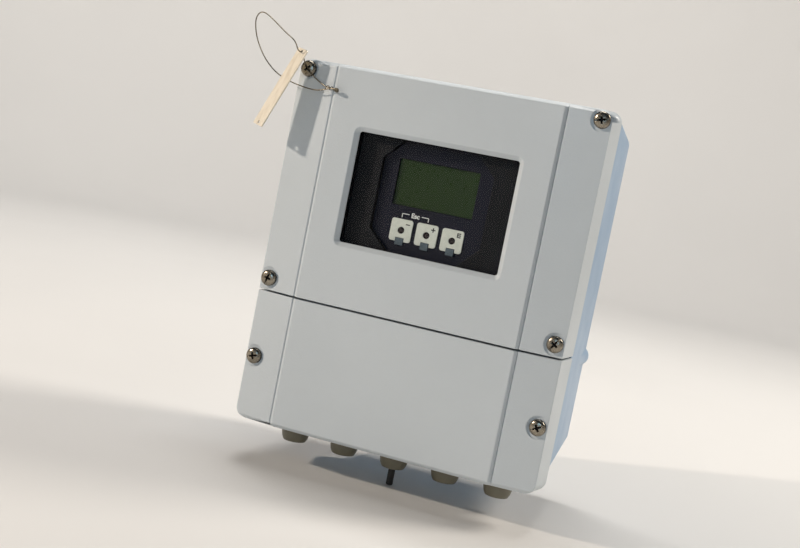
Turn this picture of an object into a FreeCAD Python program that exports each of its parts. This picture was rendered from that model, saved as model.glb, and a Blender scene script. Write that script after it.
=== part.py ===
"""Wall-mount transmitter of an electromagnetic flow meter.

Frame: the origin is midway between the two wall bores, on the wall plane (y = 0). +X is to the right as
the reader faces the display, the front faces -Y, and +Z is up. All sizes are in millimetres.
"""
import FreeCAD, Part
import math
import os
import re

import Sketcher
from FreeCAD import Placement, Rotation, Vector

# ---------------------------------------------------------------------------------------------------------
# Driving dimensions
# ---------------------------------------------------------------------------------------------------------
SIZES = {
    # casing, outside
    "case_width": 215.0,
    "case_height": 250.0,
    "case_depth": 135.0,
    "lower_height": 90.5,        # height of the lower cover, up to the middle of the seam
    "wall_bore_height": 81.5,    # wall bores above the lower edge of the casing
    "cover_depth": 34.0,
    "seam_gap": 1.2,
    "skirt_height": 9.5,         # the lower cover hangs this far below the gland seats
    # covers
    "cover_wall": 4.0,
    "panel_inset": 31.5,         # edges of the middle panel, in from the casing's sides
    "step_width": 1.6,
    "step_depth": 1.4,
    "groove_width": 0.95,        # the V groove at the foot of each step
    "groove_depth": 1.2,
    "wing_fall": 4.5,            # how far a wing slopes back from its step to its outer edge
    "cover_lean": 1.8,           # draft of a cover's sides, from the parting to the wing's edge
    "end_lean": 2.2,             # draft of a cover's free end, from the parting to the front
    "end_bevel": 2.2,
    "bevel_angle": 45.0,
    "corner_round": 7.5,
    "rib_wall": 3.5,
    # cover screws, captive in tubes behind the wings
    "screw_inset": 8.0,          # in from the casing's sides
    "screw_top_margin": 8.5,
    "screw_seam_margin": 8.7,
    "screw_lower_height": 45.4,
    "screw_dia": 5.0,
    "screw_head_dia": 10.8,
    "screw_head_height": 4.0,
    "screw_slot_width": 1.1,
    "screw_slot_depth": 0.85,
    "screw_tube_dia": 11.0,
    "screw_engagement": 14.0,
    "screw_tip": 0.8,
    "spot_face_dia": 15.0,
    "spot_face_depth": 0.85,
    "fit_gap": 0.15,             # loose fit between a piece and its seat
    # rear housing
    "case_inset": 1.0,
    "case_wall": 4.0,
    "case_round": 6.5,
    "draft_angle": 3.7,
    "web_thick": 10.0,
    "wall_bore_inset": 11.5,     # in from the casing's sides
    "wall_bore_dia": 6.5,
    "wall_boss_dia": 14.0,
    "wall_boss_floor": 10.0,
    "wall_head_dia": 11.0,
    "back_screw_across": 95.0,
    "back_screw_up": 102.0,
    "back_screw_centre": 81.0,
    "back_screw_dia": 4.2,
    "back_screw_depth": 12.0,
    "back_boss_dia": 13.0,
    "back_boss_height": 12.0,
    # gaskets
    "gasket_thick": 1.0,
    "gasket_width": 3.0,
    # window
    "window_width": 109.0,
    "window_height": 73.6,
    "window_height_middle": 170.3,   # middle of the window above the lower edge of the casing
    "window_bevel": 3.0,
    "window_corner": 1.8,
    "pane_lap": 4.5,
    "pane_thick": 2.5,
    "pane_gasket_thick": 0.6,
    "retainer_width": 5.0,
    "retainer_lip": 2.5,
    "retainer_side": 9.0,
    "retainer_screw_dia": 3.0,
    "retainer_screw_bite": 2.6,
    "retainer_screw_margin": 12.0,
    # display behind the window
    "mask_gap": 1.4,
    "mask_margin_across": 8.5,   # the mask reaches this far beyond the window
    "mask_margin_up": 9.2,
    "mask_wall": 3.0,
    "eyelet_inset": 16.5,        # the mask's eight-sided opening, in from the window's sides
    "eyelet_over": 1.7,          # and beyond its top and bottom
    "eyelet_cut": 15.0,
    "display_depth": 4.5,        # display plate, behind the front of the mask
    "display_plate_thick": 2.0,
    "lcd_width": 55.4,
    "lcd_height": 30.4,
    "lcd_up": 9.7,               # middle of the LCD above the middle of the window
    "lcd_thick": 2.2,
    "lcd_lap": 1.5,
    "key_pitch": 17.7,
    "key_width": 15.0,
    "key_height": 15.0,
    "key_down": 21.7,
    "key_round": 1.8,
    "key_thick": 0.8,
    "sensor_dia": 4.2,
    "sensor_height": 0.9,
    "tab_width": 5.6,
    "tab_height": 4.8,
    "board_thick": 1.6,
    "display_board_gap": 6.0,
    # electronics module behind the display
    "module_inset": 19.5,        # in from the casing's sides
    "module_height": 128.0,
    "module_middle": 88.0,
    "module_wall": 3.0,
    "module_floor_gap": 30.0,    # from the wall plane to the back of the carrier
    "module_lid_gap": 3.0,       # from the parting plane back to the module's lid
    "module_lid_thick": 1.5,
    "module_post_dia": 10.0,
    "module_post_margin": 10.0,
    "module_screw_dia": 4.0,
    "module_screw_head_dia": 7.0,
    "module_screw_head_height": 2.6,
    "module_screw_bite": 8.0,
    "card_depth": 52.0,
    "card_rail": 3.0,
    "card_rail_width": 6.0,
    "transformer_width": 34.0,
    "transformer_depth": 30.0,
    "transformer_height": 42.0,
    # connection compartment
    "terminal_board_inset": 23.5,    # in from the casing's sides
    "terminal_board_height": 40.0,
    "terminal_board_middle": -22.0,
    "terminal_board_gap": 40.0,
    "terminal_board_screw_dia": 3.0,
    "wiring_slot_width": 90.0,
    "wiring_slot_back": 10.0,
    "wiring_slot_depth": 16.0,
    "terminal_post_dia": 8.0,
    "terminal_post_margin": 5.0,
    "terminal_pitch": 6.0,
    "terminal_block_height": 18.0,
    "terminal_block_depth": 15.0,
    "terminal_screw_dia": 3.6,
    "terminal_screw_depth": 3.0,
    "terminal_screw_bite": 8.0,
    "wire_entry_dia": 3.4,
    "wire_entry_depth": 9.0,
    "ground_screw_dia": 6.0,
    "ground_boss_dia": 12.0,
    "ground_boss_height": 16.0,
    "ground_inset": 23.5,        # in from the casing's left side
    "ground_height": 30.0,       # above the lower edge of the casing
    # cable glands
    "gland_pitch": 37.3,
    "gland_from_front": 45.0,
    "gland_thread_dia": 16.0,
    "gland_seat_thick": 11.0,
    "gland_pad_margin": 12.0,
    "gland_flats": 20.0,
    "gland_washer_thick": 1.2,
    "gland_collar": 4.5,
    "gland_neck_dia": 15.4,
    "gland_neck_length": 6.5,
    "gland_nut_gap": 0.6,
    "gland_nut_grip": 8.0,
    "gland_nut_dome": 8.5,
    "gland_nut_wall": 1.6,
    "gland_mouth_dia": 11.0,
    "gland_bore_dia": 10.0,
    "gland_seal_bore_dia": 5.0,
    "gland_seal_dia": 12.4,
    "plug_dia": 4.8,
    "plug_reach": 12.4,
    # seal and tag
    "tag_length": 58.2,
    "tag_width": 12.5,
    "tag_thick": 1.0,
    "tag_hole_dia": 2.4,
    "tag_hole_margin": 2.0,
    "tag_round": 1.2,
    "tag_tilt": -9.4,
    "tag_lean": 18.4,
    "tag_turn": -34.0,
    "wire_dia": 0.8,
    "eye_height": 2.4,           # cross-drilled eye above the screw's seat
}

# Places worked out from the driving dimensions
PLACES = {
    "bottom": "-wall_bore_height",
    "top": "case_height - wall_bore_height",
    "seam": "lower_height - wall_bore_height",
    "front": "-case_depth",
    "parting": "cover_depth - case_depth",
    "rim": "parting + gasket_thick",
    "side": "case_width / 2",
    "panel_half_width": "side - panel_inset",
    "step_foot": "panel_half_width + step_width",
    "wing_edge": "front + step_depth + wing_fall",
    "gland_seat": "bottom + skirt_height",
    "housing_side": "side - case_inset",
    "housing_top": "top - case_inset",
    "screw_side": "side - screw_inset",
    "wall_bore_side": "side - wall_bore_inset",
    "screw_top": "top - screw_top_margin",
    "screw_mid": "seam + screw_seam_margin",
    "screw_low": "bottom + screw_lower_height",
    "wing_slope": "wing_fall / (side - cover_lean - step_foot)",
    "screw_seat": "front + step_depth + wing_slope * (screw_side - step_foot) + spot_face_depth",
    "window_middle": "bottom + window_height_middle",
    "pane_front": "front + cover_wall + pane_gasket_thick",
    "pane_back": "pane_front + pane_thick",
    "pane_half_width": "window_width / 2 + pane_lap",
    "pane_half_height": "window_height / 2 + pane_lap",
    "retainer_back": "pane_back + retainer_lip",
    "mask_front": "retainer_back + mask_gap",
    "mask_width": "window_width + 2 * mask_margin_across",
    "mask_height": "window_height + 2 * mask_margin_up",
    "eyelet_half_width": "window_width / 2 - eyelet_inset",
    "eyelet_half_height": "window_height / 2 + eyelet_over",
    "plate_front": "mask_front + display_depth",
    "plate_back": "plate_front + display_plate_thick",
    "display_board_front": "plate_back + display_board_gap",
    "module_width": "2 * (side - module_inset)",
    "lid_front": "parting + module_lid_gap",
    "lid_back": "lid_front + module_lid_thick",
    "carrier_back": "-module_floor_gap",
    "carrier_floor": "carrier_back - module_wall",
    "gland_axis": "front + gland_from_front",
    "terminal_board_width": "2 * (side - terminal_board_inset)",
    "terminal_back": "-terminal_board_gap",
    "terminal_face": "terminal_back - board_thick",
    "ground_x": "-(side - ground_inset)",
}

doc = FreeCAD.newDocument("flow_meter_transmitter")
sheet = doc.addObject("Spreadsheet::Sheet", "sizes")
for row, (name, value) in enumerate(SIZES.items(), 1):
    sheet.set(f"A{row}", name)
    sheet.set(f"B{row}", str(value))
    sheet.setAlias(f"B{row}", name)
doc.recompute()

nodes = []


# ---------------------------------------------------------------------------------------------------------
# Helpers: sketches and features tied to the sheet
# ---------------------------------------------------------------------------------------------------------
def bound(text):
    """Writes an expression: names of sizes become cells of the sheet, names of places their formulas."""
    def swap(match):
        word = match.group()
        if word in PLACES:
            return "(" + bound(PLACES[word]) + ")"
        return "sizes." + word if word in SIZES else word
    return re.sub(r"[a-z][a-z_]*", swap, str(text))


def size(name):
    """The value of one driving dimension, read back from the sheet."""
    return float(sheet.get(name))


def tie(thing, **properties):
    """Binds properties to expressions; a double underscore in a name stands for a dot."""
    for path, text in properties.items():
        thing.setExpression(path.replace("__", "."), bound(text))


def new_body(label, x="0", y="0", z="0", turn=None):
    """An empty body whose origin sits at x, y, z."""
    body = doc.addObject("PartDesign::Body", label)
    body.Label = label
    if turn is not None:
        body.Placement = Placement(Vector(), turn)
    tie(body, Placement__Base__x=x, Placement__Base__y=y, Placement__Base__z=z)
    return body


def draw(body, plane, offset, outlines):
    """A sketch on one of the body's own planes. An outline is a list of corners, or (x, y, radius)."""
    sketch = body.newObject("Sketcher::SketchObject", body.Label + "_sketch")
    support = next(f for f in body.Origin.OriginFeatures if f.Role == plane + "_Plane")
    sketch.AttachmentSupport = [(support, "")]
    sketch.MapMode = "FlatFace"
    tie(sketch, AttachmentOffset__Base__z=offset)
    for outline in outlines:
        if isinstance(outline, tuple):
            draw_circle(sketch, *outline)
        else:
            draw_polygon(sketch, outline)
    return sketch


def pin_point(sketch, line, point, start, corner):
    """Fixes one point of the sketch at a corner given by two expressions."""
    for kind, value, text in zip(("DistanceX", "DistanceY"), start, corner):
        number = sketch.addConstraint(Sketcher.Constraint(kind, -1, 1, line, point, value))
        sketch.setExpression(f"Constraints[{number}]", bound(text))


def draw_circle(sketch, x, y, radius):
    circle = sketch.addGeometry(Part.Circle(Vector(1, 1, 0), Vector(0, 0, 1), 5), False)
    pin_point(sketch, circle, 3, (1, 1), (x, y))
    number = sketch.addConstraint(Sketcher.Constraint("Radius", circle, 5))
    sketch.setExpression(f"Constraints[{number}]", bound(radius))


def draw_polygon(sketch, corners):
    count = len(corners)
    spread = [(10 * math.cos(2 * math.pi * k / count), 10 * math.sin(2 * math.pi * k / count))
              for k in range(count)]
    first = sketch.GeometryCount
    for here, there in zip(spread, spread[1:] + spread[:1]):
        sketch.addGeometry(Part.LineSegment(Vector(*here, 0), Vector(*there, 0)), False)
    for k in range(count):
        sketch.addConstraint(Sketcher.Constraint("Coincident", first + k, 2, first + (k + 1) % count, 1))
    for k, corner in enumerate(corners):
        pin_point(sketch, first + k, 1, spread[k], corner)


def box_outline(x_low, x_high, y_low, y_high):
    """The four corners of an upright rectangle."""
    return [(x_low, y_low), (x_high, y_low), (x_high, y_high), (x_low, y_high)]


def slab(body, plane, outlines, start, end, cut=False, taper=None):
    """Pads, or with cut pockets, outlines from start to end along the plane's own axis."""
    against = plane == "XZ"   # the normal of this plane points along -Y
    sketch = draw(body, plane, f"-({start})" if against else start, outlines)
    kind = "Pocket" if cut else "Pad"
    feature = body.newObject("PartDesign::" + kind, body.Label + "_" + kind.lower())
    feature.Profile = sketch
    feature.Reversed = against != cut
    tie(feature, Length=f"({end}) - ({start})")
    if taper is not None:
        tie(feature, TaperAngle=taper)
    return feature


def turned(body, outline):
    """A solid of revolution about the body's Z axis, from (radius, height) corners."""
    sketch = draw(body, "XZ", "0", [outline])
    feature = body.newObject("PartDesign::Revolution", body.Label + "_turned")
    feature.Profile = sketch
    feature.ReferenceAxis = (sketch, ["V_Axis"])
    feature.Angle = 360
    return feature


def soften(body, radius, test, kind="Fillet"):
    """Rounds, or with kind="Chamfer" bevels, the edges of the body that pass a test."""
    doc.recompute()
    base = body.Tip
    names = [f"Edge{number}" for number, edge in enumerate(base.Shape.Edges, 1) if test(edge)]
    feature = body.newObject("PartDesign::" + kind, body.Label + "_" + kind.lower())
    feature.Base = (base, names)
    tie(feature, **{"Radius" if kind == "Fillet" else "Size": radius})
    doc.recompute()
    return feature


def runs_along(edge, axis):
    """True for a straight edge nearly parallel to an axis: 0 for X, 1 for Y, 2 for Z."""
    if edge.Curve.TypeId != "Part::GeomLine":
        return False
    run = edge.Vertexes[-1].Point - edge.Vertexes[0].Point
    return abs(run[axis]) > 0.99 * run.Length


def keep(piece):
    """Adds a finished piece to the part; its label names its file."""
    nodes.append(piece)
    return piece


def keep_together(label, pieces):
    """Adds like pieces as one node, a separate solid each."""
    group = doc.addObject("Part::Compound", label)
    group.Label = label
    group.Links = pieces
    return keep(group)


# ---------------------------------------------------------------------------------------------------------
# Covers: drafted die-cast shells with a flat middle panel, two lengthways steps with a groove at the foot of
# each, and wings that slope back
# ---------------------------------------------------------------------------------------------------------
def cover_outline(inset):
    """Cross-section of a cover, seen from above, moved inwards by a wall."""
    half, foot = "panel_half_width", "step_foot"
    edge, lean = f"side - {inset}", f"side - cover_lean - {inset}"
    flat, low, back = f"front + {inset}", f"front + step_depth + {inset}", f"wing_edge + {inset}"
    corners = [(edge, "parting"), (lean, back), (foot, low), (half, flat)]
    return corners + mirrored(corners)


def mirrored(corners):
    """The same corners on the left-hand side, in the order that closes an outline."""
    return [(f"-({x})", y) for x, y in reversed(corners)]


def cover_shell(body, low, high, free_end, outwards):
    """The outer form of a cover. free_end is its end away from the seam; outwards is "+" or "-"."""
    inwards = "-" if outwards == "+" else "+"
    slab(body, "XY", [cover_outline("0")], low, high)
    drafted = f"{free_end} {inwards} end_lean"
    slab(body, "YZ", [[("front", drafted), ("parting", free_end), ("parting", f"{free_end} {outwards} 1"),
                       ("front", f"{free_end} {outwards} 1")]], "-(side)", "side", cut=True)
    doc.recompute()
    box = body.Shape.BoundBox
    outer = box.ZMax if outwards == "+" else box.ZMin

    def on_free_corner(edge):
        middle = edge.CenterOfMass
        return (runs_along(edge, 1) and abs(middle.x) > box.XMax - size("cover_lean")
                and abs(middle.z - outer) < size("end_lean"))

    soften(body, "corner_round", on_free_corner)
    # A cut that widens towards the free end bevels its front edge all along the stepped profile
    far_line = "front + step_depth + wing_slope * (side + end_lean - step_foot)"
    air = [("side + end_lean", "front - end_lean"), ("side + end_lean", far_line),
           ("step_foot", "front + step_depth"), ("panel_half_width", "front")]
    start = f"{free_end} {inwards} (end_lean + end_bevel)"
    bevel = slab(body, "XY", [air + mirrored(air)], start, f"{start} + 2 * (end_lean + end_bevel)",
                 cut=True, taper="bevel_angle")
    bevel.Reversed = outwards == "+"
    groove = [("step_foot", "front"), ("step_foot", "front + step_depth"),
              ("step_foot + groove_width / 3", "front + step_depth + groove_depth"),
              ("step_foot + groove_width", "front + step_depth + wing_slope * groove_width"),
              ("step_foot + groove_width", "front")]
    slab(body, "XY", [groove, mirrored(groove)], low, high, cut=True)


def screw_tubes(body, heights):
    """Tubes behind the wings that guide the captive screws, with their spot-faces and bores."""
    spots = [(x, z) for z in heights for x in ("-(screw_side)", "screw_side")]
    slab(body, "XZ", [(x, z, "screw_tube_dia / 2") for x, z in spots], "screw_seat", "parting")
    slab(body, "XZ", [(x, z, "spot_face_dia / 2") for x, z in spots], "front", "screw_seat", cut=True)
    slab(body, "XZ", [(x, z, "screw_dia / 2 + fit_gap") for x, z in spots], "front", "parting", cut=True)


upper_cover = new_body("upper_cover")
cover_shell(upper_cover, "seam + seam_gap / 2", "top", "top", "+")
slab(upper_cover, "XY", [cover_outline("cover_wall")],
     "seam + seam_gap / 2 + cover_wall", "top - cover_wall", cut=True)
screw_tubes(upper_cover, ["screw_mid", "screw_top"])
slab(upper_cover, "XZ", [box_outline("-window_width / 2", "window_width / 2",
                                     "window_middle - window_height / 2",
                                     "window_middle + window_height / 2")],
     "front", "front + cover_wall", cut=True)


def on_window(edge, front):
    """True for edges of the window opening; front picks those of the outer face."""
    middle = edge.CenterOfMass
    inside = (abs(middle.x) < size("window_width") / 2 + 0.1
              and abs(middle.z - size("window_height_middle") + size("wall_bore_height"))
              < size("window_height") / 2 + 0.1)
    on_face = abs(middle.y + size("case_depth")) < 0.01
    return inside and (on_face if front else runs_along(edge, 1))


soften(upper_cover, "window_corner", lambda e: on_window(e, front=False))
soften(upper_cover, "window_bevel", lambda e: on_window(e, front=True), kind="Chamfer")
retainer_spots = [(f"{sx}(pane_half_width + retainer_side / 2)",
                   f"window_middle {sz} (window_height / 2 - retainer_screw_margin)")
                  for sx in ("-", "") for sz in ("-", "+")]
slab(upper_cover, "XZ", [(x, z, "retainer_screw_dia / 2") for x, z in retainer_spots],
     "front + cover_wall - retainer_screw_bite", "front + cover_wall", cut=True)
keep(upper_cover)

lower_cover = new_body("lower_cover")
cover_shell(lower_cover, "bottom", "seam - seam_gap / 2", "bottom", "-")
slab(lower_cover, "XY", [cover_outline("cover_wall")],
     "gland_seat + rib_wall", "seam - seam_gap / 2 - cover_wall", cut=True)
slab(lower_cover, "XY", [cover_outline("cover_wall")], "bottom + cover_wall", "gland_seat", cut=True)
screw_tubes(lower_cover, ["screw_low"])
keep(lower_cover)


# ---------------------------------------------------------------------------------------------------------
# Rear housing: a drafted die-cast tray with a web between the electronics and the connection compartment
# ---------------------------------------------------------------------------------------------------------
GLANDS = [f"({k}) * gland_pitch" for k in range(-2, 3)]
WALL_BORES = [("-(wall_bore_side)", "0"), ("wall_bore_side", "0")]
COVER_SCREWS = {
    "upper_left": ("-(screw_side)", "screw_top"), "upper_right": ("screw_side", "screw_top"),
    "middle_left": ("-(screw_side)", "screw_mid"), "middle_right": ("screw_side", "screw_mid"),
    "lower_left": ("-(screw_side)", "screw_low"), "lower_right": ("screw_side", "screw_low"),
}


def four_spots(half_width, half_height, middle):
    """Centres of four like features round a middle height."""
    return [(f"{sx}({half_width})", f"{middle} {sz} ({half_height})")
            for sx in ("-", "") for sz in ("-", "+")]


back_screws = four_spots("back_screw_across / 2", "back_screw_up / 2", "back_screw_centre")
module_posts = four_spots("module_width / 2 - module_post_margin", "module_height / 2 - module_post_margin",
                          "module_middle")
terminal_posts = four_spots("terminal_board_width / 2 - terminal_post_margin",
                            "terminal_board_height / 2 - terminal_post_margin", "terminal_board_middle")

rear_housing = new_body("rear_housing")
slab(rear_housing, "XZ", [box_outline("-(housing_side)", "housing_side", "gland_seat", "housing_top")],
     "rim", "0", taper="-draft_angle")
soften(rear_housing, "case_round", lambda e: e.CenterOfMass.y > -60 and e.CenterOfMass.y < -40)
inner_side = "housing_side - case_wall"
slab(rear_housing, "XZ", [box_outline(f"-({inner_side})", inner_side,
                                      "seam + web_thick / 2", "housing_top - case_wall")],
     "rim", "-case_wall", cut=True, taper="-draft_angle")
slab(rear_housing, "XZ", [box_outline(f"-({inner_side})", inner_side,
                                      "gland_seat + case_wall", "seam - web_thick / 2")],
     "rim", "-case_wall", cut=True, taper="-draft_angle")
slab(rear_housing, "XZ", [(x, z, "wall_boss_dia / 2") for x, z in WALL_BORES], "rim", "0")
slab(rear_housing, "XZ", [(x, z, "wall_head_dia / 2") for x, z in WALL_BORES],
     "rim", "-wall_boss_floor", cut=True)
slab(rear_housing, "XZ", [(x, z, "wall_bore_dia / 2") for x, z in WALL_BORES],
     "-wall_boss_floor", "0", cut=True)
slab(rear_housing, "XZ", [(x, z, "screw_tube_dia / 2") for x, z in COVER_SCREWS.values()],
     "rim", "rim + screw_engagement + case_wall")
slab(rear_housing, "XZ", [(x, z, "screw_dia / 2 + fit_gap / 3") for x, z in COVER_SCREWS.values()],
     "rim", "rim + screw_engagement", cut=True)
slab(rear_housing, "XZ", [(x, z, "back_boss_dia / 2") for x, z in back_screws],
     "-(case_wall + back_boss_height)", "-case_wall / 2")
slab(rear_housing, "XZ", [(x, z, "back_screw_dia / 2") for x, z in back_screws],
     "-back_screw_depth", "0", cut=True)
slab(rear_housing, "XZ", [(x, z, "module_post_dia / 2") for x, z in module_posts],
     "carrier_back", "-case_wall / 2")
slab(rear_housing, "XZ", [(x, z, "module_screw_dia / 2") for x, z in module_posts],
     "carrier_back", "carrier_back + module_screw_bite", cut=True)
slab(rear_housing, "XZ", [(x, z, "terminal_post_dia / 2") for x, z in terminal_posts],
     "terminal_back", "-case_wall / 2")
slab(rear_housing, "XZ", [(x, z, "terminal_board_screw_dia / 2") for x, z in terminal_posts],
     "terminal_back", "terminal_back + terminal_screw_bite", cut=True)
gland_reach = "2 * gland_pitch + gland_pad_margin"
slab(rear_housing, "XY", [box_outline(f"-({gland_reach})", gland_reach,
                                      "rim", "gland_axis + gland_pad_margin")],
     "gland_seat", "gland_seat + gland_seat_thick")
slab(rear_housing, "XY", [(x, "gland_axis", "gland_thread_dia / 2 + fit_gap") for x in GLANDS],
     "gland_seat - 1", "gland_seat + gland_seat_thick", cut=True)
slab(rear_housing, "XY", [box_outline("-wiring_slot_width / 2", "wiring_slot_width / 2",
                                      "-(wiring_slot_back + wiring_slot_depth)", "-wiring_slot_back")],
     "seam - web_thick", "seam + web_thick", cut=True)
slab(rear_housing, "XZ", [("ground_x", "bottom + ground_height", "ground_boss_dia / 2")],
     "-(case_wall + ground_boss_height)", "-case_wall / 2")
slab(rear_housing, "XZ", [("ground_x", "bottom + ground_height", "ground_screw_dia / 2")],
     "-(case_wall + ground_boss_height)", "-case_wall * 1.5", cut=True)
keep(rear_housing)

# ---------------------------------------------------------------------------------------------------------
# Gaskets on the housing's rim
# ---------------------------------------------------------------------------------------------------------
def on_gasket_corner(edge):
    """True for the two outer corners of a gasket that lie away from the seam."""
    middle = edge.CenterOfMass
    return (runs_along(edge, 1) and abs(middle.x) > size("case_width") / 2 - size("gasket_width")
            and abs(middle.z) > size("lower_height") / 2)


for label, low, high in (
        ("upper_gasket", "seam + seam_gap", "housing_top - fit_gap"),
        ("lower_gasket", "gland_seat + fit_gap", "seam - seam_gap")):
    gasket = new_body(label)
    edge = "housing_side - fit_gap"
    slab(gasket, "XZ", [box_outline(f"-({edge})", edge, low, high),
                        box_outline(f"-({edge} - gasket_width)", f"{edge} - gasket_width",
                                    f"{low} + gasket_width", f"{high} - gasket_width")], "parting", "rim")
    soften(gasket, "case_round - fit_gap", on_gasket_corner)
    keep(gasket)

# ---------------------------------------------------------------------------------------------------------
# Screws
# ---------------------------------------------------------------------------------------------------------
def pan_screw(label, x, z, spin):
    """A pan-head cover screw, slotted and cross-recessed, on its spot-face; spin turns its slot."""
    turn = Rotation(Vector(1, 0, 0), 90).multiply(Rotation(Vector(0, 0, 1), spin))
    screw = new_body(label, x, "screw_seat", z, turn)
    reach = "rim + screw_engagement - screw_tip - (screw_seat)"
    shank, head, height = "screw_dia / 2", "screw_head_dia / 2", "screw_head_height"
    turned(screw, [("0", f"-({reach})"), (f"{shank} - screw_tip", f"-({reach})"),
                   (shank, f"-({reach}) + screw_tip"), (shank, "0"), (head, "0"), (head, f"{height} * 0.55"),
                   (f"{head} * 0.9", f"{height} * 0.78"), (f"{head} * 0.7", f"{height} * 0.93"),
                   (f"{head} * 0.35", height), ("0", height)])
    long_arm, short_arm = f"{head} * 0.52", f"{head} * 0.12"
    for wide, tall in ((long_arm, short_arm), (short_arm, long_arm)):
        slab(screw, "XY", [box_outline(f"-({wide})", wide, f"-({tall})", tall)],
             f"{height} * 0.45", f"{height} * 1.1", cut=True)
    slab(screw, "XY", [box_outline(f"-({head})", head, "-screw_slot_width / 2", "screw_slot_width / 2")],
         f"{height} - screw_slot_depth", f"{height} * 1.1", cut=True)
    return screw


SLOT_TURN = {"upper_left": 135, "upper_right": 14, "middle_left": 73, "middle_right": 57,
             "lower_left": 17, "lower_right": 30}
cover_screws = {}
for place, (x, z) in COVER_SCREWS.items():
    cover_screws[place] = keep(pan_screw("cover_screw_" + place, x, z, SLOT_TURN[place]))

# The upper left head is cross-drilled: the seal wire passes through this eye, from lower right to upper left
slab(cover_screws["upper_left"], "YZ", [("0", "eye_height", "wire_dia / 2 + fit_gap")],
     "-screw_head_dia", "screw_head_dia", cut=True)


def screw_set(label, spots, y, turn_back, shank, reach, head, height):
    """A node of like screws, one solid each; turn_back faces their heads to the wall."""
    turn = Rotation(Vector(1, 0, 0), -90 if turn_back else 90)
    pieces = []
    for number, (x, z) in enumerate(spots, 1):
        screw = new_body(f"{label}_{number}", x, y, z, turn)
        turned(screw, [("0", f"-({reach})"), (shank, f"-({reach})"), (shank, "0"), (head, "0"),
                       (head, f"{height} * 0.6"), (f"{head} * 0.8", height), ("0", height)])
        pieces.append(screw)
    return keep_together(label, pieces)


# ---------------------------------------------------------------------------------------------------------
# Window: gasket, pane and the retainer that clamps them into the upper cover
# ---------------------------------------------------------------------------------------------------------
def frame_outline(half_width, half_height, middle="window_middle"):
    return box_outline(f"-({half_width})", half_width,
                       f"{middle} - ({half_height})", f"{middle} + ({half_height})")


window_gasket = new_body("window_gasket")
slab(window_gasket, "XZ", [frame_outline("pane_half_width", "pane_half_height"),
                           frame_outline("window_width / 2 + fit_gap", "window_height / 2 + fit_gap")],
     "front + cover_wall", "pane_front")
keep(window_gasket)

window_pane = new_body("window_pane")
slab(window_pane, "XZ", [frame_outline("pane_half_width", "pane_half_height")], "pane_front", "pane_back")
keep(window_pane)

pane_retainer = new_body("pane_retainer")
slab(pane_retainer, "XZ", [frame_outline("pane_half_width + retainer_side",
                                         "pane_half_height + retainer_width"),
                           frame_outline("window_width / 2 + fit_gap", "window_height / 2 + fit_gap")],
     "front + cover_wall", "retainer_back")
slab(pane_retainer, "XZ", [frame_outline("pane_half_width + fit_gap", "pane_half_height + fit_gap")],
     "front + cover_wall", "pane_back", cut=True)
slab(pane_retainer, "XZ", [(x, z, "retainer_screw_dia / 2 + fit_gap") for x, z in retainer_spots],
     "front + cover_wall", "retainer_back", cut=True)
keep(pane_retainer)
screw_set("retainer_screws", retainer_spots, "retainer_back", True, "retainer_screw_dia / 2 - fit_gap / 3",
          "retainer_screw_bite - (front + cover_wall) + (retainer_back) - fit_gap",
          "retainer_screw_dia * 0.9", "1.2")

# ---------------------------------------------------------------------------------------------------------
# Display: a moulded mask with an eight-sided opening, the display plate, LCD, key fields and sensors
# ---------------------------------------------------------------------------------------------------------
KEYS = {"key_minus": "-key_pitch", "key_plus": "0", "key_enter": "key_pitch"}
key_middle = "window_middle - key_down"
lcd_middle = "window_middle + lcd_up"


def eyelet_outline(grow="0"):
    """The mask's eight-sided opening, as corners."""
    wide, tall, cut = f"eyelet_half_width + {grow}", f"eyelet_half_height + {grow}", "eyelet_cut"
    right = [(wide, f"-({tall}) + {cut}"), (wide, f"{tall} - {cut}"), (f"{wide} - {cut}", tall)]
    left = [(f"-({wide}) + {cut}", tall), (f"-({wide})", f"{tall} - {cut}"),
            (f"-({wide})", f"-({tall}) + {cut}")]
    ends = [(f"-({wide}) + {cut}", f"-({tall})"), (f"{wide} - {cut}", f"-({tall})")]
    return [(x, f"window_middle + ({z})") for x, z in right + left + ends]


display_mask = new_body("display_mask")
slab(display_mask, "XZ", [frame_outline("mask_width / 2", "mask_height / 2")], "mask_front", "lid_front")
slab(display_mask, "XZ", [frame_outline("mask_width / 2 - mask_wall", "mask_height / 2 - mask_wall")],
     "plate_front", "lid_front", cut=True)
slab(display_mask, "XZ", [eyelet_outline()], "mask_front", "plate_front", cut=True)
keep(display_mask)

INSIDE_MASK = ("mask_width / 2 - mask_wall - fit_gap", "mask_height / 2 - mask_wall - fit_gap")
display_plate = new_body("display_plate")
slab(display_plate, "XZ", [frame_outline(*INSIDE_MASK)],
     "plate_front", "plate_back")
slab(display_plate, "XZ", [frame_outline("lcd_width / 2", "lcd_height / 2", lcd_middle)],
     "plate_front", "plate_back", cut=True)
keep(display_plate)

lcd_panel = new_body("lcd_panel")
slab(lcd_panel, "XZ", [frame_outline("lcd_width / 2 + lcd_lap", "lcd_height / 2 + lcd_lap", lcd_middle)],
     "plate_back", "plate_back + lcd_thick")
keep(lcd_panel)

display_board = new_body("display_board")
slab(display_board, "XZ", [frame_outline(*INSIDE_MASK)],
     "display_board_front", "display_board_front + board_thick")
slab(display_board, "XZ", [frame_outline("lcd_width / 2", "lcd_height / 2", lcd_middle)],
     "plate_back + lcd_thick", "display_board_front")
keep(display_board)

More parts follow.
